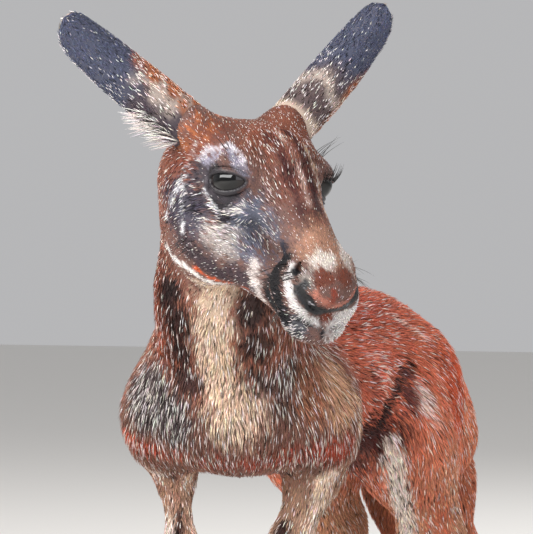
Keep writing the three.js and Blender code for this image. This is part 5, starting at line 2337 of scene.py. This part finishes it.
@dataclass(eq=False)
class Whiskers:
    """Whiskers and lashes, in one piece."""

    body: Body
    seed: int = 3
    lash_count: int = 34  # for each eye
    steps: int = 6  # along a hair
    corners: int = 3  # round it

    def __post_init__(self) -> None:
        """Seeds the randomness."""
        self.rng = np.random.default_rng(self.seed)

    def rooted(self, points: Array) -> Array:
        """Moves points onto the skin.

        Args:
            points: Places in the animal's frame.

        Returns:
            The moved points.
        """
        for _ in range(4):
            slope = slope_of(self.body, points)
            steep = np.maximum((slope * slope).sum(1), FLATTEST)
            points = points - slope * (self.body(points) / steep)[:, None]
        return points

    def group(self, bristles: Bristles, side: Side) -> tuple[Array, ...]:
        """Roots, directions, lengths, droops and widths of one side's group.

        Args:
            bristles: The group.
            side: Which side.

        Returns:
            Five arrays.
        """
        mirror = np.array((-side.value, 1, 1))
        count = bristles.count
        scatter = self.rng.uniform(-1, 1, (count, 3)) * bristles.spread
        way = (np.array(bristles.way) + self.rng.normal(0, 0.18, (count, 3))) * mirror
        root = self.rooted(HEAD.points((np.array(bristles.centre) + scatter) * mirror))
        length = self.rng.uniform(*bristles.length, count)
        return root, unit(way) @ HEAD.axes.T, length, np.full(count, -0.16), np.full(count, bristles.width)

    def lashes(self, side: Side) -> tuple[Array, ...]:
        """Roots, directions, lengths, droops and widths of one eye's lashes; the left eye's are longer.

        Args:
            side: Which side.

        Returns:
            Five arrays.
        """
        eye, count = Eye(side), self.lash_count
        reach, longer, width = (20.0, 1.6, 1.0) if side is Side.LEFT else (7.0, 1.0, 0.62)
        angle = np.radians(np.linspace(20, 160, count) + self.rng.normal(0, 1.5, count))
        across, upward = eye.rim(1.6, angle)
        root = eye.spots(across, upward, eye.radius + 1.4)
        beyond = eye.spots(across * 1.25, upward + 22, eye.radius + reach)
        way = unit(beyond - root + self.rng.normal(0, 0.6, (count, 3)))
        length = self.rng.uniform(5.5, 9.5, count) * (0.7 + 0.5 * np.sin(angle)) * longer
        return HEAD.points(root), way @ HEAD.axes.T, length, np.full(count, 0.35), np.full(count, width)

    def dress(self, finish: Finish) -> Piece:
        """Makes the piece: thin three-sided cones, bent a little.

        Args:
            finish: Its material.

        Returns:
            The piece.
        """
        groups = [self.group(bristles, side) for bristles in WHISKERS for side in Side]
        groups += [self.lashes(side) for side in Side]
        at, way, length, droop, width = map(np.concatenate, zip(*groups))
        steps, corners = self.steps, self.corners
        side_way = unit(np.cross(way, (0.1, 0.2, 0.97)))
        upward = np.cross(side_way, way)
        layers = []
        for t in np.linspace(0, 1, steps + 1):
            middle = at + way * (length * t)[:, None] + upward * (length * droop * t * t)[:, None]
            size = (width / 2 * (1 - 0.88 * t))[:, None]
            for turn in np.arange(corners) * 2 * math.pi / corners:
                layers.append(middle + (side_way * math.cos(turn) + upward * math.sin(turn)) * size)
        points = np.stack(layers, 1).reshape(-1, 3)
        a, d, c, b = ring_quads(steps, corners).T
        faces = np.stack([a, b, c, a, c, d], 1).reshape(-1, 3)
        last = steps * corners
        faces = np.concatenate([faces, [(0, 2, 1), (last, last + 1, last + 2)]])
        starts = np.arange(len(at))[:, None, None] * (last + corners)
        joined = (faces[None] + starts).reshape(-1, 3)
        made = make_mesh("whiskers_and_lashes", points, joined, finish)
        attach(made, "root")
        log.info("whiskers and lashes: %d", len(at))
        return made


# ---- Studio ----


@dataclass(frozen=True)
class Lamp:
    """A soft rectangular light, in metres and watts."""

    name: str
    at: Triple
    size: float
    power: float
    tint: str = "#ffffff"
    thin: float = 0.0  # its height where it is lower than wide


LAMPS = (
    Lamp("key", (-1.4, -2.2, 2.7), 1.1, 66, "#fff6ee"),
    Lamp("fill", (2.6, -2.2, 1.3), 2.4, 44, "#f4f5ff"),
    Lamp("rim", (0.6, 2.4, 2.4), 1.6, 42),
    Lamp("window", (-0.74, -3.36, 1.6), 4.6, 165, thin=0.85),
)


@dataclass(frozen=True)
class Studio:
    """Pale floor, soft lights and the camera."""

    aim: Triple = (0.045, -0.6, 0.5)  # metres
    reach: float = 12.0  # half the floor's width, in metres
    room: float = 0.52  # strength of the room's own light
    turn: float = 24.0  # degrees between the camera's way and the trunk's
    off: float = 2095.0  # millimetres from the eyes to the camera
    aside: float = 5.0  # how far left of them it stands
    under: float = 73.0  # how far below them
    lens: float = 168.54

    def build(self) -> None:
        """Makes the floor, the lights and the world."""
        mesh = bpy.data.meshes.new("studio_floor")
        reach = self.reach
        mesh.from_pydata([(-reach, -reach, 0), (reach, -reach, 0), (reach, reach, 0), (-reach, reach, 0)],
                         [], [(0, 1, 2, 3)])
        mesh.materials.append(FloorFinish().make())
        floor = bpy.data.objects.new("studio_floor", mesh)
        bpy.context.scene.collection.objects.link(floor)
        for lamp in LAMPS:
            self.light(lamp)
        world = bpy.data.worlds.new("soft_room")
        world.use_nodes = True
        background = world.node_tree.nodes["Background"]
        background.inputs["Color"].default_value = (*linear("#f4f4f6"), 1.0)
        background.inputs["Strength"].default_value = self.room
        bpy.context.scene.world = world
        bpy.context.scene.view_settings.view_transform = "Standard"

    def light(self, lamp: Lamp) -> None:
        """Adds one light, turned toward the animal.

        Args:
            lamp: The light.
        """
        data = bpy.data.lights.new(lamp.name, "AREA")
        data.size = lamp.size
        data.shape = "RECTANGLE" if lamp.thin else "SQUARE"
        data.size_y = lamp.thin or lamp.size
        data.energy = lamp.power
        data.color = linear(lamp.tint)
        made = bpy.data.objects.new(lamp.name, data)
        bpy.context.scene.collection.objects.link(made)
        made.location = lamp.at
        away = np.array(lamp.at) - np.array(self.aim)
        flat = math.hypot(away[0], away[1])
        made.rotation_euler = (math.atan2(flat, away[2]), 0, math.atan2(away[0], -away[1]))

    def camera(self) -> None:
        """Stands the camera level, a little over two metres off the head, turned 24 degrees."""
        turn = math.radians(self.turn)
        ahead = np.array((-math.sin(turn), math.cos(turn), 0))
        right = np.array((math.cos(turn), math.sin(turn), 0))
        eyes = HEAD.point((0, EYE_AT[1], EYE_AT[2])) + ORIGIN
        at = eyes - self.off * ahead - self.aside * right - np.array((0, 0, self.under))
        data = bpy.data.cameras.new("camera")
        data.lens = self.lens
        data.sensor_width = 36
        made = bpy.data.objects.new("camera", data)
        bpy.context.scene.collection.objects.link(made)
        made.location = at * MM
        made.rotation_euler = (math.pi / 2, 0, turn)
        bpy.context.scene.camera = made


# ---- Everything together ----


def main() -> None:
    """Builds the kangaroo and its studio."""
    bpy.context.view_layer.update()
    anatomy = Anatomy()
    face = Face()
    body = Body([*anatomy.shapes(), *face.swells()], face.hollows())
    painter = Painter(body, [*trunk_marks(), *head_marks()])
    fur = FurFinish().make()
    skin = Skin(body, painter)
    skin.build()
    skin.dress(HideFinish().make())
    eye_finish = EyeFinish().make()
    for side in Side:
        Eye(side).ball(eye_finish)
    Claws(anatomy).dress(HornFinish().make())
    coat = Coat(painter)
    roots = coat.build(skin)
    pieces = coat.dress(roots, fur)
    log.info("coat: %d tufts in %d pieces", len(roots.at), len(pieces))
    Whiskers(body).dress(WhiskerFinish().make())
    studio = Studio()
    studio.build()
    studio.camera()
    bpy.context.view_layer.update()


if __name__ == "__main__":
    main()
